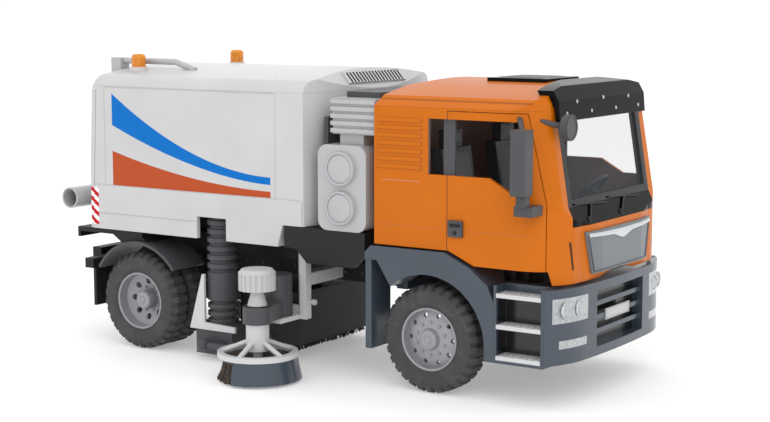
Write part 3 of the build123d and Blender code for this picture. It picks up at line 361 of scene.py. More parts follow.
# Columns: slot, colour in a picture, roughness, shine, size of the grain in mm, its depth in mm
PLAIN = [("chassis_black", (28, 28, 30), 0.5, 0.3, 0.8, 0.02),
         ("slate_plastic", (60, 69, 80), 0.2, 0.55, 0.7, 0.008),
         ("dark_grey", (74, 75, 78), 0.42, 0.3, 0.8, 0.018),
         ("frame_silver", (202, 203, 205), 0.3, 0.4, 0.5, 0.008),
         ("knob_white", (190, 190, 190), 0.35, 0.3, 0.7, 0.01),
         ("unit_grey", (176, 177, 179), 0.2, 0.5, 0.9, 0.006),
         ("visor_black", (12, 12, 14), 0.16, 0.07, 1.0, 0.004),
         ("grille_grey", (112, 118, 122), 0.3, 0.3, 0.7, 0.01)]
for name, colour, rough, shine, grain, depth in PLAIN:
    finishes[name] = Plastic(name, linear(*colour), rough, grain, depth, specular_ior_level=shine)

PAINTED_RECESS_SHADE = linear(24, 25, 27)
STEP_BOXES = ((286.0, -77.0, 30.8), (318.0, 77.0, 65.8))
BEHIND_SLATS = ((321.0, -33.0, 33.0), (328.0, 33.0, 67.5))
slate = finishes["slate_plastic"]
# Painted shade, nearly black, in the step boxes and behind the bumper slats.
for low, high in (STEP_BOXES, BEHIND_SLATS):
    slate.paint(inside(slate, low, high), PAINTED_RECESS_SHADE)
for finish in finishes.values():
    finish.close()
print("plain plastics:", len(finishes))

# %% [markdown]
# ## Orange cab plastic
#
# The cab is a glossy orange shell. The seams of its doors are real gaps, but the creases across the doors
# and the rear panel rise by a tenth of a millimetre, and the air slit at each front corner is not a
# millimetre deep. They could be cut into the mesh. A bump from the position on the truck is enough, with a
# painted highlight along each crease and painted shade in the roof gutter and the slits.

# %% Orange cab plastic
ORANGE = linear(198, 103, 4)
FRONT_CORNER, NOSE = 306.0, 318.0
# Columns: height of the crease in mm, its rear and its front end, strength of the painted highlight on it
CREASES = [(104.0, 200.0, FRONT_CORNER, 0.02), (132.0, 204.0, 231.0, 0.08)]
CREASE_HALF, CREASE_RISE = 0.45, 0.12
orange = Plastic("cab_orange", ORANGE, 0.34, 1.2, 0.002, specular_ior_level=0.15, coat_weight=0.08,
                 coat_roughness=0.08)
x, y, z = orange.axes()
for height, rear_end, front_end, highlight in CREASES:
    crease = within(z, height - CREASE_HALF, height + CREASE_HALF) * within(x, rear_end, front_end)
    orange.highlit_ridge(crease, CREASE_RISE, highlight)
GUTTER_LOW, GUTTER_TOP = 181.3, 182.3
# The roof gutter is a groove with painted shade in it.
orange.groove(within(z, GUTTER_LOW, GUTTER_TOP) * (x < FRONT_CORNER), 0.5, 0.35)
# A slit leans: y falls by a sixth of the height below its top.
SLIT_Y, SLIT_HALF, SLIT_FOOT, SLIT_TOP = 59.0, 0.9, 83.0, 100.0
slit_y = abs(y) - SLIT_Y + (SLIT_TOP - z) / 6.0
slit = within(slit_y, -SLIT_HALF, SLIT_HALF) * within(z, SLIT_FOOT, SLIT_TOP) * (x > NOSE)
# Each slit is a groove nearly filled with painted shade.
orange.groove(slit, 0.6, 0.85)
print("creases at, mm:", [row[0] for row in CREASES])

# %% [markdown]
# ## Painted shade inside the cab
#
# Inside, the cab lies in deep shade, so its inner faces get a painted shade of dull brown. Shell and lining
# are one solid, so a second material would need its faces picked by hand. The direction of a face says the
# same: it belongs to the lining if its normal points towards the middle of the cab, which is where the dot
# product of both arrows is below zero.

# %% Painted shade inside the cab
CAB_MIDDLE = (258.0, 0.0, 135.0)
PAINTED_INSIDE_SHADE = linear(132, 106, 96)
outwards = orange.node("ShaderNodeVectorMath", {"operation": "SUBTRACT"},
                       {0: orange.place(), 1: CAB_MIDDLE})
facing = orange.node("ShaderNodeTexCoord", {}, {}, "Normal")
along = orange.node("ShaderNodeVectorMath", {"operation": "DOT_PRODUCT"}, {0: outwards, 1: facing}, "Value")
# Faces that point inwards get the painted shade.
finishes["cab_orange"] = orange.paint(along < 0.0, PAINTED_INSIDE_SHADE).close()
print("middle of the cab, mm:", CAB_MIDDLE)

# %% [markdown]
# ## White container with its stripes
#
# Two curved stripes run down each side of the container, blue above and brown below. They fall fast
# at the rear and level out to the front, like (1 - t) to a power, where t runs from 0 to 1 along the
# sticker. So three curves and a straight line bound both stripes, and no picture is needed.

# %% White container with its stripes
WHITE = linear(198, 198, 199)
BLUE = linear(0, 108, 190)
BROWN = linear(180, 78, 40)
SIDE_Y = 75.0
STICKER_REAR, STICKER_FRONT, STICKER_FOOT = -22.0, 116.0, 114.0
# Columns: height at the front in mm, height gained at the rear, power of the curve
BLUE_TOP, BLUE_LOW, BROWN_TOP = (127.5, 50.5, 1.9), (122.6, 33.4, 1.72), (118.2, 19.8, 1.9)
container = Plastic("container_white", WHITE, 0.3, 1.0, 0.008, specular_ior_level=0.12)
x, y, z = container.axes()
left_over = ((STICKER_FRONT - x) / (STICKER_FRONT - STICKER_REAR)).most(0.0)


def falling(front_height, gain, power):
    """Height of a stripe's edge above the ground."""
    return front_height + gain * left_over.power(power)


on_side = (abs(y) > SIDE_Y) * within(x, STICKER_REAR, STICKER_FRONT)
container.paint(on_side * (z < falling(*BLUE_TOP)) * (z > falling(*BLUE_LOW)), BLUE)
container.paint(on_side * (z < falling(*BROWN_TOP)) * (z > STICKER_FOOT), BROWN)
print("stripes from x", STICKER_REAR, "to", STICKER_FRONT)

# %% [markdown]
# ## Panel lines and warning strip
#
# A shallow line frames the large panel on each side, another runs along the skirt, and ribs stiffen the tail
# gate. All are too shallow for the mesh, so they are bumps with a little painted shade in each line and
# between the ribs. A red and white strip warns at each lower rear corner: its slanted bands are the
# remainder of a sum of x and z, which repeats for ever without a loop.

# %% Panel lines and warning strip
LINE_HALF = 0.4
PANEL_REAR, PANEL_FRONT, PANEL_TOP = -29.0, 120.0, 182.3
panel_middle = (PANEL_REAR + PANEL_FRONT) / 2
panel_half = (PANEL_FRONT - PANEL_REAR) / 2
SKIRT_LINE, SKIRT_REAR, SKIRT_FRONT = 93.8, -37.0, 53.0
upright = within(abs(x - panel_middle), panel_half - LINE_HALF, panel_half + LINE_HALF)
upright = upright * within(z, STICKER_FOOT, PANEL_TOP)
level = within(z, PANEL_TOP - LINE_HALF, PANEL_TOP + LINE_HALF) * within(x, PANEL_REAR, PANEL_FRONT)
skirt = within(z, SKIRT_LINE - LINE_HALF, SKIRT_LINE + LINE_HALF) * within(x, SKIRT_REAR, SKIRT_FRONT)
# The panel lines get a little painted shade.
container.groove((abs(y) > SIDE_Y - 1.0) * upright.most(level).most(skirt), 0.25, 0.14)

RED = linear(196, 24, 34)
WARNING_Y, WARNING_LOW, WARNING_TOP, WARNING_FRONT = 68.0, 85.5, 111.8, -35.2
BAND_PERIOD, BAND_SLOPE = 6.8, 0.64
warning = (abs(y) > WARNING_Y) * within(z, WARNING_LOW, WARNING_TOP) * (x < WARNING_FRONT)
slanted = (z + BAND_SLOPE * x).wrap(BAND_PERIOD) < BAND_PERIOD / 2
container.paint(warning, linear(240, 240, 240)).paint(warning * slanted, RED)

GATE_FACE, GATE_HALF, GATE_LOW, GATE_TOP = -38.0, 60.0, 110.0, 172.0
RIB_PITCH, RIB_HALF = 24.0, 0.8
rib = within(z.wrap(RIB_PITCH), RIB_PITCH / 2 - RIB_HALF, RIB_PITCH / 2 + RIB_HALF)
on_gate = within(z, GATE_LOW, GATE_TOP) * (abs(y) < GATE_HALF) * (x < GATE_FACE)
# Painted shade in the grooves of the gate.
container.groove(rib * on_gate, 0.4, 0.25)
finishes["container_white"] = container.close()
print("bands of the warning strip, mm:", BAND_PERIOD / 2)

# %% [markdown]
# ## Air vent of the container
#
# The air that the fan has sucked in leaves through a row of slits above the cab. The solid has them as
# shallow slots in a panel. Open slits are dark with the shade inside them, so the floor of each slot gets a
# painted shade: the slots repeat across the truck, and so does the remainder of y. Cutting them through
# would show nothing more.

# %% Air vent of the container
VENT_SLOTS = 17
vent_low, vent_high = node_box("front_vent")
slot_pitch = (vent_high.y - vent_low.y) / (VENT_SLOTS + 1)
vent_edge = 0.12 * (vent_high.z - vent_low.z)
vent = Plastic("vent_white", WHITE, 0.3, 1.0, 0.008, specular_ior_level=0.12)
x, y, z = vent.axes()
painted_slot_shade = (y - vent_low.y + slot_pitch / 4).wrap(slot_pitch) < slot_pitch / 2
painted_slot_shade = painted_slot_shade * (abs(y) < vent_high.y - slot_pitch / 2)
painted_slot_shade = painted_slot_shade * within(z, vent_low.z + vent_edge, vent_high.z - vent_edge)
# The slot floors get a painted shade.
finishes["vent_white"] = vent.paint(painted_slot_shade, linear(34, 35, 37)).close()
print("slot pitch, mm:", round(slot_pitch, 2))

# %% [markdown]
# ## Rubber, rims and bristle
#
# Tyre rubber is nearly black and dull, with a greyer bloom where it has been handled. On the side wall fine
# rings run round the bead. Rings need the distance from the axle, and there are two axles, so the nearer one
# counts. The rims are satin silver with faint turning marks, and a groove round the hub with painted shade
# in it. Bristle is brown-black and varies from strand to strand.


# %% Rubber, rims and bristle
def from_axle(finish):
    """Distance from the nearer axle, in millimetres."""
    x, y, z = finish.axes()
    along = abs(x).least(abs(x - wheelbase))
    up = z - rear_axle.z / MM
    return (along * along + up * up).power(0.5)


# Inner and outer radius of each ring on the side wall, and of the groove round a hub, in mm
BEAD_RING, WALL_RING, HUB_GROOVE = (21.6, 22.3), (27.6, 28.2), (6.3, 7.0)
rubber = Plastic("tyre_rubber", linear(65, 65, 66), 0.66, 0.9, 0.04)
radius = from_axle(rubber)
bloom = rubber.noise(9.0, 4.0)
rubber.paint(within(bloom, 0.55, 1.0) * 0.35, linear(82, 82, 82))
rubber.relief = rubber.relief + 0.15 * within(radius, *BEAD_RING).most(within(radius, *WALL_RING))
finishes["tyre_rubber"] = rubber.close()

TURNS_PER_MM = 2.2
rims = Plastic("rim_silver", linear(155, 156, 160), 0.36, 0.6, 0.008, metallic=0.35)
turning = (from_axle(rims) * TURNS_PER_MM).wrap(1.0)
rims.relief = rims.relief + 0.02 * turning
# The groove round the hub gets painted shade.
rims.groove(within(from_axle(rims), *HUB_GROOVE), 0.2, 0.35)
finishes["rim_silver"] = rims.close()

bristle = Plastic("bristle_dark", linear(62, 55, 50), 0.6, 0.5, 0.03)
bristle.paint(within(bristle.noise(1.2), 0.56, 1.0) * 0.5, linear(98, 86, 76))
finishes["bristle_dark"] = bristle.close()
print("turning marks on a rim, per mm:", TURNS_PER_MM)

# %% [markdown]
# ## Windscreen and lamp glass
#
# The windscreen is a clear sheet with a black printed border that hides the glue on a real one. Both are one
# sheet here, so the border is a mask that also drives the opacity. Lamp glass is moulded in little steps
# that scatter the light, and a cell pattern gives each its own tilt and a painted shade that darkens towards
# its edge. The beacons are amber caps on a grey foot, told apart by their height.

# %% Windscreen and lamp glass
CLEAR_HALF, CLEAR_LOW, CLEAR_TOP, CLEAR_ALPHA = 51.5, 124.5, 171.5, 0.14
screen = Plastic("clear_screen", linear(90, 98, 104), 0.06, 2.0, 0.0, ior=1.45)
x, y, z = screen.axes()
border = (abs(y) > CLEAR_HALF).most(z > CLEAR_TOP).most(z < CLEAR_LOW)
screen.paint(border, linear(24, 25, 27))
screen.feed("Alpha", CLEAR_ALPHA + (1 - CLEAR_ALPHA) * border)
finishes["clear_screen"] = screen.close()


def lens(name, colour, cell, depth, **constants):
    """Lamp glass with moulded steps of about cell millimetres, each with painted shade towards its edge."""
    made = Plastic(name, linear(*colour), 0.12, 1.0, 0.0, coat_weight=0.6, coat_roughness=0.05, **constants)
    steps = made.node("ShaderNodeTexVoronoi", {"feature": "F1"},
                      {"Vector": made.place(), "Scale": 1 / cell})
    made.relief = made.relief + steps * depth
    # Painted shade, darker towards the edge of each step.
    made.tone = made.mix(steps * 0.5, made.tone, shade(linear(*colour), 0.35))
    return made


finishes["lamp_clear"] = lens("lamp_clear", (184, 187, 190), 2.4, 0.3).close()
finishes["lamp_red"] = lens("lamp_red", (190, 18, 20), 1.6, 0.3).close()
CAP_HEIGHT = 9.2
foot_top = node_box("beacons")[1].z - CAP_HEIGHT
amber = lens("beacon_amber", (228, 138, 4), 2.2, 0.25, emission_color=linear(250, 150, 10),
             emission_strength=0.06)
x, y, z = amber.axes()
finishes["beacon_amber"] = amber.paint(z < foot_top, linear(196, 197, 199)).close()
print("beacon foot up to, mm:", round(foot_top, 1))

# %% [markdown]
# ## A small mould shop
#
# The fine pieces are all made from a few moves: a skin stretched over rings of points, a form turned on
# a lathe, a tube along a path, and a block with broken edges. This class collects such moves in one mesh,
# in millimetres on the truck, and `done` puts it in the frame, on its body and in its finish.


# %% A small mould shop
def circle(centre, aim, r, h, sides):
    """Points of a circle of radius r, moved by h along the axis that aim gives."""
    turns = [2 * math.pi * k / sides for k in range(sides)]
    return [Vector(centre) + aim @ Vector((r * math.cos(t), r * math.sin(t), h)) for t in turns]


class Mould:
    """A mesh in the making, in millimetres on the truck."""

    def __init__(self):
        self.shape = bmesh.new()

    def skin(self, rings, ends=True):
        """Skin over rings that all have the same number of points."""
        made = [[self.shape.verts.new(point) for point in ring] for ring in rings]
        count = len(made[0])
        for low, high in zip(made, made[1:]):
            for i in range(count):
                j = (i + 1) % count
                self.shape.faces.new((low[i], low[j], high[j], high[i]))
        if ends:
            self.shape.faces.new(made[0][::-1])
            self.shape.faces.new(made[-1])
        return self

    def turned(self, profile, centre, axis, steps=40, ends=True):
        """Form turned about an axis through centre, from (radius, height) points."""
        aim = Vector(axis).to_track_quat("Z", "Y").to_matrix()
        return self.skin([circle(centre, aim, r, h, steps) for r, h in profile], ends)

    def tube(self, path, radius, sides=10):
        """Round bar along a path; radius is one number, or one for each point."""
        points = [Vector(point) for point in path]
        radii = radius if isinstance(radius, (list, tuple)) else [radius] * len(points)
        rings = []
        for i, point in enumerate(points):
            ahead = points[min(i + 1, len(points) - 1)] - points[max(i - 1, 0)]
            aim = ahead.to_track_quat("Z", "Y").to_matrix()
            rings.append(circle(point, aim, radii[i], 0, sides))
        return self.skin(rings)

    def block(self, low, high, edge=0.4):
        """Block between two corners with its edges broken."""
        size = Vector(high) - Vector(low)
        middle = (Vector(high) + Vector(low)) / 2
        made = bmesh.ops.create_cube(self.shape, matrix=Matrix.LocRotScale(middle, None, size))
        edges = {e for v in made["verts"] for e in v.link_edges}
        bmesh.ops.bevel(self.shape, geom=list(edges), offset=edge, segments=2, affect="EDGES", profile=0.5)
        return self

    def done(self, name, body, slot, finish=None, smooth=38.0):
        """The finished object, riding on a body of the truck, in the finish of its slot or in its own."""
        bmesh.ops.remove_doubles(self.shape, verts=self.shape.verts, dist=0.002)
        bmesh.ops.recalc_face_normals(self.shape, faces=self.shape.faces)
        for vertex in self.shape.verts:
            vertex.co = at(*vertex.co)
        mesh = bpy.data.meshes.new(name)
        self.shape.to_mesh(mesh)
        self.shape.free()
        mesh.shade_smooth()
        mesh.set_sharp_from_angle(angle=math.radians(smooth))
        mesh.materials.append((finish or finishes[slot]).material)
        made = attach(plain_object(name, mesh), body)
        return made


print("the mould shop can skin, turn, draw tubes and cut blocks")

# %% [markdown]
# ## Lugged tyres
#
# A truck tyre has blocks of tread, and the gaps between them run down over the shoulder. The CAD tyre has
# its thirty lugs already, with few faces. Here they get a rounded side wall, three grooves and walls that
# slope a little, as rubber leaves its mould. A section of the tyre is drawn at five turns of each lug, three
# times low and twice high, and skinned.

# %% Lugged tyres
LUGS = 30
LUG_HEIGHT = 1.4
tyre_low, tyre_high = node_box("front_tyre_right")
TYRE_R = (tyre_high.z - tyre_low.z) / 2
RIM_R = 20.0
SHOULDER = 4.0
SIDE_GROOVE = 0.55
GROOVE_DEPTH, GROOVE_TOP, GROOVE_BED = 1.1, 0.9, 0.55
# Columns: turn as a share of one lug, how much of the lug stands there
LUG_TURNS = [(-0.5, 0.0), (-0.35, 0.0), (-0.29, 1.0), (0.29, 1.0), (0.35, 0.0)]


def tyre_section(half, height):
    """(radius, y) points of the section, from one bead over the tread to the other."""
    sink = LUG_HEIGHT * (1 - height)
    top = TYRE_R - sink
    bed = min(top, TYRE_R - GROOVE_DEPTH)
    wall = [(RIM_R + 0.1, half - 1.6), (RIM_R + 1.6, half - 0.35), (RIM_R + 4.5, half - 0.05),
            (RIM_R + 7.5, half), (TYRE_R - SHOULDER, half - 0.1 - 0.2 * sink),
            (TYRE_R - 0.5 * SHOULDER - 0.6 * sink, half - 0.4 * SHOULDER - 0.5 * sink),
            (top - 0.35, half - SHOULDER + 0.5), (top, half - SHOULDER - 0.2)]
    for groove in (SIDE_GROOVE * (half - SHOULDER), 0.0):
        wall += [(top, groove + GROOVE_TOP), (bed, groove + GROOVE_BED)]
        if groove:
            wall += [(bed, groove - GROOVE_BED), (top, groove - GROOVE_TOP)]
    return wall + [(r, -y) for r, y in reversed(wall)]


def lugged_tyre(mould, x, y, half):
    """One tyre round the axle line through x, its middle at y."""
    rings = []
    for lug in range(LUGS):
        for turn, height in LUG_TURNS:
            angle = 2 * math.pi * (lug + turn) / LUGS - math.pi / 2
            rings.append([(x + r * math.cos(angle), y + side, TYRE_R + r * math.sin(angle))
                          for r, side in tyre_section(half, height)])
    mould.skin(rings + rings[:1], ends=False)


TWIN_GAP = 3.0
# Columns: end of the truck, start of the body's name, places of the tyres from the middle of the wheel
AXLES = [("front", "front_wheel", (0,)), ("rear", "rear_wheels", (-1, 1))]
for end, wheel, places in AXLES:
    for side in ("right", "left"):
        low, high = node_box(f"{end}_tyre_{side}")
        middle = (low + high) / 2
        half = (high.y - low.y - TWIN_GAP * (len(places) - 1)) / (2 * len(places))
        mould = Mould()
        for place in places:
            lugged_tyre(mould, middle.x, middle.y + place * (half + TWIN_GAP / 2), half)
        tyre = mould.done(f"lugged_{end}_tyre_{side}", f"{wheel}_{side}", "tyre_rubber", smooth=30.0)
        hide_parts(f"{end}_tyre_{side}")
print("tyre radius, mm:", round(TYRE_R, 1), "faces of the last:", len(tyre.data.polygons))

# %% [markdown]
# ## Wheel nuts and hubs
#
# The front wheels bulge outwards and carry a ring of nuts round a stepped hub. The rear twins are dished
# the other way, with the nuts on a flat plate deep in the rim. The solids have the dish, the holes and
# the hub. Nuts are six-sided forms with a broken top edge, and each hub gets a turned cover with steps.

# %% Wheel nuts and hubs
# Columns: end of the truck, start of the body's name, nuts, radius of their ring in mm,
# foot of a nut and place of the cover, both outwards from the tyre's outer side in mm
HUBS = [("front", "front_wheel", 10, 10.4, -4.3, -0.5), ("rear", "rear_wheels", 8, 8.6, -12.4, -5.0)]
NUT = [(1.05, 0.0), (1.05, 0.9), (0.7, 1.35)]
COVER = [(5.2, -0.6), (5.2, 0.25), (4.5, 0.55), (3.6, 0.55), (3.3, 0.2), (2.2, 0.2), (1.9, 0.9), (1.2, 1.2)]
LIP = [(18.3, -2.2), (19.4, -2.2), (19.9, -1.7), (19.9, -1.2), (19.2, -0.9), (18.6, -1.3)]
for end, wheel, nuts, ring, foot, cover in HUBS:
    for side, out in (("right", -1), ("left", 1)):
        low, high = node_box(f"{end}_tyre_{side}")
        middle = (low + high) / 2
        face = high.y if out > 0 else low.y
        mould = Mould()
        for i in range(nuts):
            turn = 2 * math.pi * (i + 0.5) / nuts
            spot = (middle.x + ring * math.cos(turn), face + out * foot, middle.z + ring * math.sin(turn))
            mould.turned(NUT, spot, (0, out, 0), 6)
        mould.turned(COVER, (middle.x, face + out * cover, middle.z), (0, out, 0))
        mould.turned(LIP + LIP[:1], (middle.x, face, middle.z), (0, out, 0), 64, ends=False)
        mould.done(f"{wheel}_nuts_{side}", f"{wheel}_{side}", "rim_silver", smooth=30.0)
print("nuts on a front and on a rear wheel:", [hub[2] for hub in HUBS])

# %% [markdown]
# ## Side brush
#
# A brush is hundreds of strands that lean and part a little. A hair system would not survive the export,
# so each strand is a thin three-sided tube. The side brush is a cone of strands below a plate, and they
# spread outwards to the ground. A fixed seed gives the same brush each time.

# %% Side brush
chance = random.Random(7)
STRANDS, STRAND_RINGS = 1500, 6
ROOT_R, ROOT_SPREAD = 14.5, 7.4
brush_low, brush_high = node_box("brush_bristles")
brush_middle = (brush_low + brush_high) / 2
BRUSH_R = (brush_high.x - brush_low.x) / 2
brush = Mould()
plate = [(4.0, brush_high.z - 3.2), (21.0, brush_high.z - 3.2), (22.6, brush_high.z - 2.4),
         (22.6, brush_high.z - 0.6), (21.6, brush_high.z), (4.0, brush_high.z)]
brush.turned(plate, (brush_middle.x, brush_middle.y, 0), (0, 0, 1), 60)
top = brush_high.z - 2.6
for i in range(STRANDS):
    turn = chance.uniform(0, 2 * math.pi)
    root = ROOT_R + ROOT_SPREAD * (i % STRAND_RINGS) / (STRAND_RINGS - 1)
    tip = min(root + chance.uniform(2.6, 4.4), BRUSH_R - 0.2)
    drift = turn + chance.uniform(-0.05, 0.05)
    foot = brush_low.z + chance.uniform(0.0, 1.2)
    knee = ((root * 2 + tip) / 3, turn, (top + foot) / 2)
    path = [(brush_middle.x + r * math.cos(t), brush_middle.y + r * math.sin(t), h)
            for r, t, h in ((root, turn, top), knee, (tip, drift, foot))]
    brush.tube(path, [0.5, 0.48, 0.4], 3)
side_brush = brush.done("side_brush_strands", "side_brush", "bristle_dark", smooth=25.0)
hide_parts("brush_bristles")
print("strands:", STRANDS)

# %% [markdown]
# ## Roller brush
#
# The roller under the truck throws the dirt into the mouth of the suction pipe. It has eight rows of tufts
# that wind round its core by a quarter turn, which keeps a part of the brush on the ground at every angle.
# Straight rows would be easier to place, but on a real roller they would make it hop.

# %% Roller brush
roller_low, roller_high = node_box("roller_brush")
roller_middle = (roller_low + roller_high) / 2
ROLLER_R = (roller_high.z - roller_low.z) / 2
ROLLER_HALF, CORE_R, AXLE_R = 48.0, 6.5, 2.0
ROWS, TUFTS, TUFT_STRANDS, WIND = 8, 46, 4, 0.25
roller = Mould()
axle_ends = (roller_low.y + 0.3, roller_high.y - 0.3)
roller.tube([(roller_middle.x, y, roller_middle.z) for y in axle_ends], AXLE_R, 16)
roller.tube([(roller_middle.x, y, roller_middle.z) for y in (-ROLLER_HALF, ROLLER_HALF)], CORE_R, 32)
for row in range(ROWS):
    for tuft in range(TUFTS):
        share = (tuft + 0.5) / TUFTS
        for strand in range(TUFT_STRANDS):
            turn = 2 * math.pi * (row / ROWS + WIND * share) + chance.uniform(-0.14, 0.14)
            y = ROLLER_HALF * (2 * share - 1) + chance.uniform(-0.7, 0.7)
            reach = ROLLER_R - chance.uniform(0.05, 0.8)
            bent = turn + chance.uniform(-0.03, 0.03)
            path = [(roller_middle.x + r * math.cos(t), y, roller_middle.z + r * math.sin(t))
                    for r, t in ((CORE_R - 0.5, turn), (reach, bent))]
            roller.tube(path, [0.55, 0.45], 3)
roller_brush = roller.done("roller_strands", "roller", "bristle_dark", smooth=25.0)
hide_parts("roller_brush")
print("strands:", ROWS * TUFTS * TUFT_STRANDS)

# %% [markdown]
# ## Bright strip and rim of the grille
#
# A bright strip spans the top of the grille and dips to a shallow point in the middle. Below it the
# grille plate has a raised rim. Both lie on the curved nose of the cab. Their curve could be copied by
# hand, but a ray that is sent back along the truck finds it by itself.


# %% Bright strip and rim of the grille
def touch(node, start, direction):
    """Point and normal, in millimetres, where a ray from start first meets a CAD node, or None."""
    hit, spot, normal, face = frame["nodes"][node].ray_cast(at(*start), Vector(direction).normalized())
    return ((spot - at(0, 0, 0)) / MM, normal) if hit else None


AHEAD, BEHIND = 400.0, -120.0


def nose(y, z, proud):
    """Point on the front of the grille, moved forwards by proud."""
    return (touch("grille", (AHEAD, y, z), (-1, 0, 0))[0].x + proud, y, z)


chrome = Plastic("bright_trim", linear(205, 207, 210), 0.16, 0.6, 0.004, metallic=0.85).close()
grille_low, grille_high = node_box("grille")
STRIP_HALF, STRIP_STEPS = 43.0, 40
STRIP_TOP = grille_high.z - 1.0
DIP_HALF, DIP_DEPTH = 15.0, 2.6
strip_rings = []
for i in range(STRIP_STEPS + 1):
    y = STRIP_HALF * (2 * i / STRIP_STEPS - 1)
    dip = max(0.0, 1 - abs(y) / DIP_HALF)
    low = STRIP_TOP - 2.2 - 2.0 * (1 - abs(y) / STRIP_HALF) - DIP_DEPTH * dip * dip * (3 - 2 * dip)
    top = STRIP_TOP - 0.8 * (1 - abs(y) / STRIP_HALF)
    section = [(low, -0.4), (low, 0.7), ((low + top) / 2, 1.25), (top, 0.7), (top, -0.4)]
    strip_rings.append([nose(y, z, proud) for z, proud in section])
Mould().skin(strip_rings).done("bright_strip", "cab", "frame_silver", chrome, 30.0)

RIM_INSET, RIM_STEPS = 1.2, 8
low_half = (grille_high.y - grille_low.y) / 2 - 7.0 - RIM_INSET
top_half = (grille_high.y - grille_low.y) / 2 - RIM_INSET - 0.6
rim_low, rim_top = grille_low.z + RIM_INSET, STRIP_TOP - 1.5
corners = [(-low_half, rim_low), (low_half, rim_low), (top_half, rim_top), (-top_half, rim_top)]
outline = []
for (y0, z0), (y1, z1) in zip(corners, corners[1:] + corners[:1]):
    outline += [nose(y0 + (y1 - y0) * k / RIM_STEPS, z0 + (z1 - z0) * k / RIM_STEPS, 0.1)
                for k in range(RIM_STEPS)]
grille_rim = Mould().tube(outline + outline[:2], 0.55, 8)
grille_rim.done("grille_rim", "cab", "slate_plastic")
print("strip across, mm:", 2 * STRIP_HALF, "points of the rim:", len(outline))

# %% [markdown]
# ## Wipers and visor lamps
#
# Two wipers rest on the black band under the windscreen, each a blade with an arm to a round pivot. They
# cross from the band to the glass, so each point takes the solid that stands further forward. The visor
# above carries seven small round lamps, which stand square to it: there the ray's normal is of use too.


# %% Wipers and visor lamps
def front(y, z, proud):
    """Point on the windscreen or on the band below it, moved forwards by proud."""
    hits = [touch(node, (AHEAD, y, z), (-1, 0, 0)) for node in ("screen_trim", "windscreen")]
    return (max(hit[0].x for hit in hits if hit) + proud, y, z)


def between(start, end, steps):
    """Evenly spaced points of a line, ends included."""
    return [tuple(a + (b - a) * k / steps for a, b in zip(start, end)) for k in range(steps + 1)]


black = Plastic("black_trim", linear(26, 27, 29), 0.42, 0.8, 0.015).close()
PIVOT = [(1.9, -0.6), (1.9, 0.5), (1.3, 1.0)]
# Columns: pivot as y and z, then the two ends of the blade
WIPERS = [((-38.0, 111.5), (-50.0, 121.5), (-8.0, 118.6)), ((6.0, 111.5), (-4.0, 121.5), (38.0, 118.6))]
wipers = Mould()
for pivot, blade_start, blade_end in WIPERS:
    blade = [front(y, z, 0.7) for y, z in between(blade_start, blade_end, 14)]
    arm = [front(y, z, 0.9) for y, z in between(pivot, (blade[7][1], blade[7][2]), 6)]
    wipers.turned(PIVOT, front(*pivot, 0.0), (1, 0, 0.4), 20)
    wipers.tube(blade, 0.6, 6)
    wipers.tube(arm, 0.7, 6)
wipers.done("wipers", "cab", "dark_grey", black)

BULB = [(1.15, -0.5), (1.15, 0.15), (0.8, 0.4), (0.4, 0.5)]
VISOR_LAMPS = [(-50.0, 175.5), (-17.0, 175.5), (17.0, 175.5), (50.0, 175.5),
               (-36.0, 182.0), (0.0, 182.8), (36.0, 182.0)]
visor_lamps = Mould()
for y, z in VISOR_LAMPS:
    spot, normal = touch("screen_trim", (AHEAD, y, z), (-1, 0, 0))
    visor_lamps.turned(BULB, spot, normal, 20)
visor_lamps.done("visor_lamps", "cab", "lamp_clear")
print("wipers:", len(WIPERS), "visor lamps:", len(VISOR_LAMPS))

# %% [markdown]
# ## Lamps, plate and steps
#
# Each headlight has two bowls behind its glass. They could be hollowed out behind a clear sheet, but on a
# toy the lamp is one solid block, so a moulded ring and a small dome on its face show the same. A blank
# number plate hangs in the lower grille. Small studs on the step treads stop a boot from slipping.

# %% Lamps, plate and steps
LAMP_Z = 60.0
BOWL_RING = [(5.5, -0.5), (5.5, 0.4), (5.0, 0.75), (4.5, 0.4), (4.5, -0.5)]
BOWL_DOME = [(4.4, -0.4), (4.3, 0.1), (3.2, 0.6), (1.4, 0.85)]
bowl_rings, bowl_domes = Mould(), Mould()
for y in (-65.0, -52.5, 52.5, 65.0):
    spot = touch("front_lamps", (AHEAD, y, LAMP_Z), (-1, 0, 0))[0]
    bowl_rings.turned(BOWL_RING, spot, (1, 0, 0), 36, ends=False)
    bowl_domes.turned(BOWL_DOME, spot, (1, 0, 0), 36)
bowl_rings.done("lamp_rings", "chassis", "frame_silver", chrome)
bowl_domes.done("lamp_domes", "chassis", "lamp_clear")

PLATE_HALF, PLATE_LOW, PLATE_TOP, PLATE_BACK, PLATE_FACE = 17.0, 46.8, 53.8, 328.6, 329.7
PLATE_RIM = 0.7
number_plate = Mould().block((PLATE_BACK, -PLATE_HALF, PLATE_LOW), (PLATE_FACE, PLATE_HALF, PLATE_TOP), 0.3)
rim_half, rim_z = PLATE_HALF - PLATE_RIM, (PLATE_LOW + PLATE_RIM, PLATE_TOP - PLATE_RIM)
plate_rim = [(PLATE_FACE, sy * rim_half, rim_z[k]) for sy, k in ((-1, 0), (1, 0), (1, 1), (-1, 1))]
number_plate.tube(plate_rim + plate_rim[:2], 0.3, 6)
number_plate.done("blank_plate", "chassis", "knob_white")

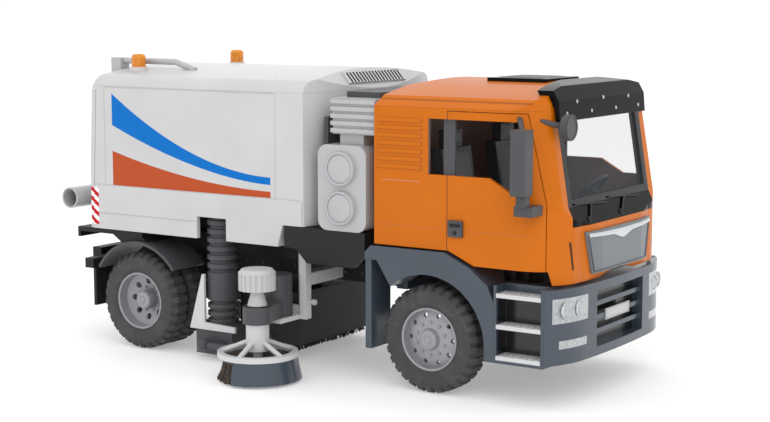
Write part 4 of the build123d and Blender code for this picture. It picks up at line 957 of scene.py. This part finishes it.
STUD = [(0.75, -0.3), (0.75, 0.2), (0.4, 0.45)]
STUD_START, STUD_PITCH, STUD_COLUMNS = 290.5, 4.6, 6
studs = Mould()
stud_count = 0
for above in (38.0, 57.0, 76.0):
    for column in range(STUD_COLUMNS):
        for y in (-77.5, -74.0, 74.0, 77.5):
            hit = touch("step_treads", (STUD_START + STUD_PITCH * column, y, above), (0, 0, -1))
            if hit:
                studs.turned(STUD, hit[0], (0, 0, 1), 10)
                stud_count += 1
studs.done("step_studs", "chassis", "frame_silver")
print("studs:", stud_count)

# %% [markdown]
# ## Mirror glass, handles and hatch
#
# Mirror glass is the one truly bright surface on the truck: a metal film behind a clear sheet. It is a
# patch laid over the back of the mirror head, a little domed, with its edge sunk into the head. The same
# patch, drawn larger, makes the raised panel of the roof hatch. Each door gets a grip and a lock.


# %% Mirror glass, handles and hatch
def patch(mould, node, corner, across, up, aim, height, steps=10):
    """Domed panel over a solid, whose edge is sunk a little into it."""
    aim = Vector(aim)
    rows = []
    for i in range(steps + 1):
        row = []
        for j in range(steps + 1):
            u, v = i / steps, j / steps
            spot = touch(node, Vector(corner) + u * Vector(across) + v * Vector(up), aim)[0]
            swell = (1 - (2 * u - 1) ** 8) * (1 - (2 * v - 1) ** 8)
            row.append(mould.shape.verts.new(spot - aim * (height * swell - 0.25)))
        rows.append(row)
    for low, high in zip(rows, rows[1:]):
        for j in range(steps):
            mould.shape.faces.new((low[j], low[j + 1], high[j + 1], high[j]))
    return mould


silver = Plastic("mirror_glass", linear(222, 226, 230), 0.05, 3.0, 0.0, metallic=1.0).close()
glass = patch(Mould(), "door_fittings_right", (298, -95.2, 132.5), (0, 10.4, 0), (0, 0, 33),
              (1, 0, 0), 0.55)
glass.done("mirror_glass", "door_right", "frame_silver", silver)
KERB_RING = [(7.3, -0.4), (7.3, 0.4), (6.9, 0.6), (6.4, 0.3), (6.4, -0.4)]
kerb_spot = touch("kerb_mirror", (AHEAD, -60, 168), (-1, 0, 0))[0]
kerb_ring = Mould().turned(KERB_RING, kerb_spot, (1, 0, 0), 48, ends=False)
kerb_ring.done("kerb_mirror_ring", "cab", "dark_grey")

# x and y of the points along a grip, in mm
GRIP, GRIP_Z = [(254.0, 78.2), (254.8, 79.6), (260.2, 79.6), (261.0, 78.2)], 107.2
LOCK = [(1.3, -0.3), (1.3, 0.25), (1.0, 0.45), (0.5, 0.3)]
for side, out in (("right", -1), ("left", 1)):
    handle = Mould().tube([(x, out * y, GRIP_Z) for x, y in GRIP], 0.75, 10)
    handle.turned(LOCK, (257.5, out * 78.6, 102.6), (0, out, 0), 20)
    handle.done(f"door_grip_{side}", f"door_{side}", "dark_grey", black)

hatch = patch(Mould(), "roof_hatch", (250.5, -18.5, 230), (35, 0, 0), (0, 37, 0), (0, 0, -1), 0.9, 16)
hatch.done("hatch_panel", "cab", "dark_grey")
print("kerb mirror ring at, mm:", [round(v, 1) for v in kerb_spot])

# %% [markdown]
# ## Seats and dashboard
#
# The side windows are open, so the seats show. Cushions are padded panels with a fine weave, on the seat,
# the backrest and the headrest. A cloth simulation could puff them up, but the domed patch gives the same
# roundness at once. The dashboard gets round dials in front of the driver, and air vents.

# %% Seats and dashboard
WEAVE_PER_MM = 0.8
cloth = Plastic("seat_cloth", linear(138, 140, 145), 0.85, 0.6, 0.05, specular_ior_level=0.2)
x, y, z = cloth.axes()
weave = (y * WEAVE_PER_MM).wrap(1.0) * ((z + x) * WEAVE_PER_MM).wrap(1.0)
cloth.relief = cloth.relief + weave * 0.12
cloth.paint(weave * 0.3, linear(84, 86, 92)).close()
cushions = Mould()
for out in (-1, 1):
    patch(cushions, "cab_interior", (237.5, out * 18.5, 140), (19, 0, 0), (0, out * 31, 0), (0, 0, -1), 2.0)
    patch(cushions, "cab_interior", (262, out * 18.5, 114), (0, out * 31, 0), (0, 0, 33), (-1, 0, 0), 1.8)
    patch(cushions, "cab_interior", (262, out * 26.5, 152), (0, out * 15, 0), (0, 0, 8.4), (-1, 0, 0), 1.2)
cushions.done("seat_cushions", "cab", "dark_grey", cloth, 50.0)

DIAL = [(3.2, -0.3), (3.2, 0.5), (2.9, 0.8), (2.5, 0.4), (2.5, -0.3)]
DASH_FACE = 296.0
DIALS_Y, VENTS_Y = (28.0, 36.0), (-46.0, -22.0, 12.0)
SLATS, SLAT_LOW, SLAT_PITCH, SLAT_HALF = 4, 108.5, 1.8, 5
dash = Mould()
for y in DIALS_Y:
    dash.turned(DIAL, (DASH_FACE, y, 112.6), (-1, 0, 0), 28, ends=False)
for y in VENTS_Y:
    for slat in range(SLATS):
        z = SLAT_LOW + SLAT_PITCH * slat
        dash.block((DASH_FACE - 1.1, y - SLAT_HALF, z), (DASH_FACE + 0.2, y + SLAT_HALF, z + 0.8), 0.2)
dash.done("dials_and_vents", "cab", "dark_grey", black)
print("dials:", len(DIALS_Y), "vents:", len(VENTS_Y))

# %% [markdown]
# ## Tank lids
#
# Each tank has two round lids, a little domed, in a rounded ring. A profile turned on the lathe gives each
# in one line. A cylinder with bevelled edges would do too, but it takes more steps to get the dome.

# %% Tank lids
COVER_RING = [(10.9, -0.4), (10.9, 0.6), (10.4, 1.2), (9.7, 1.2), (9.2, 0.7), (9.2, -0.4)]
LID = [(9.2, -0.3), (8.9, 0.5), (7.4, 1.1), (4.8, 1.6), (2.0, 1.8)]
TANK_X, LIDS_Z = 172.5, (111.5, 136.5)
covers = Mould()
for out in (-1, 1):
    for z in LIDS_Z:
        spot = touch("side_tanks", (TANK_X, out * 120, z), (0, -out, 0))[0]
        covers.turned(COVER_RING, spot, (0, out, 0), 56, ends=False)
        covers.turned(LID, spot, (0, out, 0), 56)
covers.done("tank_covers", "chassis", "unit_grey", smooth=30.0)
print("lids:", 2 * len(LIDS_Z))

# %% [markdown]
# ## Tail gate and beacons
#
# The tail gate hangs on two strap hinges and is held by two latches below. On a real truck the straps are
# flat bar with a rolled eye. A block with broken edges and a short tube give that form, and a ray says
# where the face of the gate is, so the straps lie flat on it. On the roof, the lenses of the beacons have
# ribs that spread their light.

# %% Tail gate and beacons
RIVET = [(1.0, 0.0), (1.0, 0.6), (0.6, 0.9)]
EYE_X, EYE_Z, EYE_R = -45.4, 178.8, 1.5
HINGES_Y, LATCHES_Y = (-26.0, 26.0), (-60.0, 60.0)
gate = Mould()
for y in HINGES_Y:
    gate.tube([(EYE_X, y - 5, EYE_Z), (EYE_X, y + 5, EYE_Z)], EYE_R, 16)
    face = touch("tail_gate", (BEHIND, y, 165), (1, 0, 0))[0].x
    gate.block((face - 1.0, y - 3.2, 156), (face + 0.4, y + 3.2, 178), 0.3)
    for z in (159.0, 166.0):
        gate.turned(RIVET, (face - 1.0, y, z), (-1, 0, 0), 12)
for y in LATCHES_Y:
    face = touch("tail_gate", (BEHIND, y, 92), (1, 0, 0))[0].x
    gate.block((face - 1.6, y - 3.5, 87), (face + 0.4, y + 3.5, 95), 0.4)
    gate.tube([(face - 1.4, y, 93), (face - 2.6, y, 95), (face - 2.6, y, 101)], 0.9, 10)
gate.done("gate_hinges", "tail_gate", "frame_silver")

BEACON_X, BEACON_Y = -15, 55
ribs = Mould()
for out in (-1, 1):
    for z in (197.6, 199.4, 201.2):
        spot = touch("beacons", (BEACON_X, out * 100, z), (0, -out, 0))[0]
        r = abs(spot.y) - BEACON_Y
        rib = [(r - 0.4, -0.45), (r + 0.15, -0.3), (r + 0.15, 0.3), (r - 0.4, 0.45)]
        ribs.turned(rib, (BEACON_X, out * BEACON_Y, z), (0, 0, 1), 40, ends=False)
ribs.done("beacon_ribs", "container", "beacon_amber")
print("hinges:", len(HINGES_Y), "latches:", len(LATCHES_Y))

# %% [markdown]
# ## Pins, bolts and fins
#
# What is left is small: a white pin that locks the brush bracket, bolts along the frame rails, lenses on
# the tail lamps, and cooling fins on the engine, which shows from below. Threads and castings could be
# modelled as well, but nobody would see them at this size, so lathe forms and blocks are enough.

# %% Pins, bolts and fins
PIN = [(1.4, -0.5), (1.4, 2.0), (1.9, 2.2), (1.9, 4.6), (1.5, 5.0)]
pin = Mould().turned(PIN, (136.0, -60.5, 45.0), (1, 0, 0), 24)
pin.done("lock_pin", "chassis", "knob_white")

BOLT = [(1.1, -0.3), (1.1, 0.6), (0.8, 0.9)]
RAIL_Z, BOLTS_START, BOLTS_PITCH, BOLTS_TRIED = 60.0, -44.0, 14, 26
bolts = Mould()
bolt_count = 0
for out in (-1, 1):
    for step in range(BOLTS_TRIED):
        hit = touch("chassis_frame", (BOLTS_START + BOLTS_PITCH * step, out * 60, RAIL_Z), (0, -out, 0))
        if hit:
            bolts.turned(BOLT, hit[0], (0, out, 0), 6)
            bolt_count += 1
bolts.done("frame_bolts", "chassis", "dark_grey", smooth=30.0)

TAIL_LENS = [(2.2, -0.2), (2.2, 0.2), (1.6, 0.6), (0.7, 0.8)]
lenses = Mould()
for y in (-53.0, -48.0, -41.0, -36.0, 36.0, 41.0, 48.0, 53.0):
    spot = touch("tail_lamps", (BEHIND, y, 59), (1, 0, 0))[0]
    lenses.turned(TAIL_LENS, spot, (-1, 0, 0), 24)
lenses.done("tail_lenses", "chassis", "lamp_red")

FINS, FIN_START, FIN_PITCH, FIN_WIDTH = 7, 219.0, 9.0, 3.2
fins = Mould()
for out in (-1, 1):
    low, high = sorted((out * 16.6, out * 18.4))
    for k in range(FINS):
        x = FIN_START + FIN_PITCH * k
        fins.block((x, low, 49), (x + FIN_WIDTH, high, 80), 0.4)
fins.block((222, -12, 42.2), (277, 12, 44.4), 0.8)
fins.done("engine_fins", "chassis", "dark_grey")
print("bolts:", bolt_count, "fins on a side:", FINS)

# %% [markdown]
# ## Finishes on the solids
#
# Each CAD solid carries the name of its material slot, so one loop gives every solid its finish. Four of
# them differ from the rest of their slot: the visor and the roof hatch are blacker, the grille is a lighter
# grey, and the vent is as white as the container round it.

# %% Finishes on the solids
OWN_FINISH = {"screen_trim": "visor_black", "roof_hatch": "visor_black", "grille": "grille_grey",
              "front_vent": "vent_white"}
for name, solid in frame["nodes"].items():
    slot_name = OWN_FINISH.get(name, solid.data.materials[0].name.split(".")[0])
    solid.data.materials.clear()
    solid.data.materials.append(finishes[slot_name].material)
print("solids dressed:", len(frame["nodes"]))
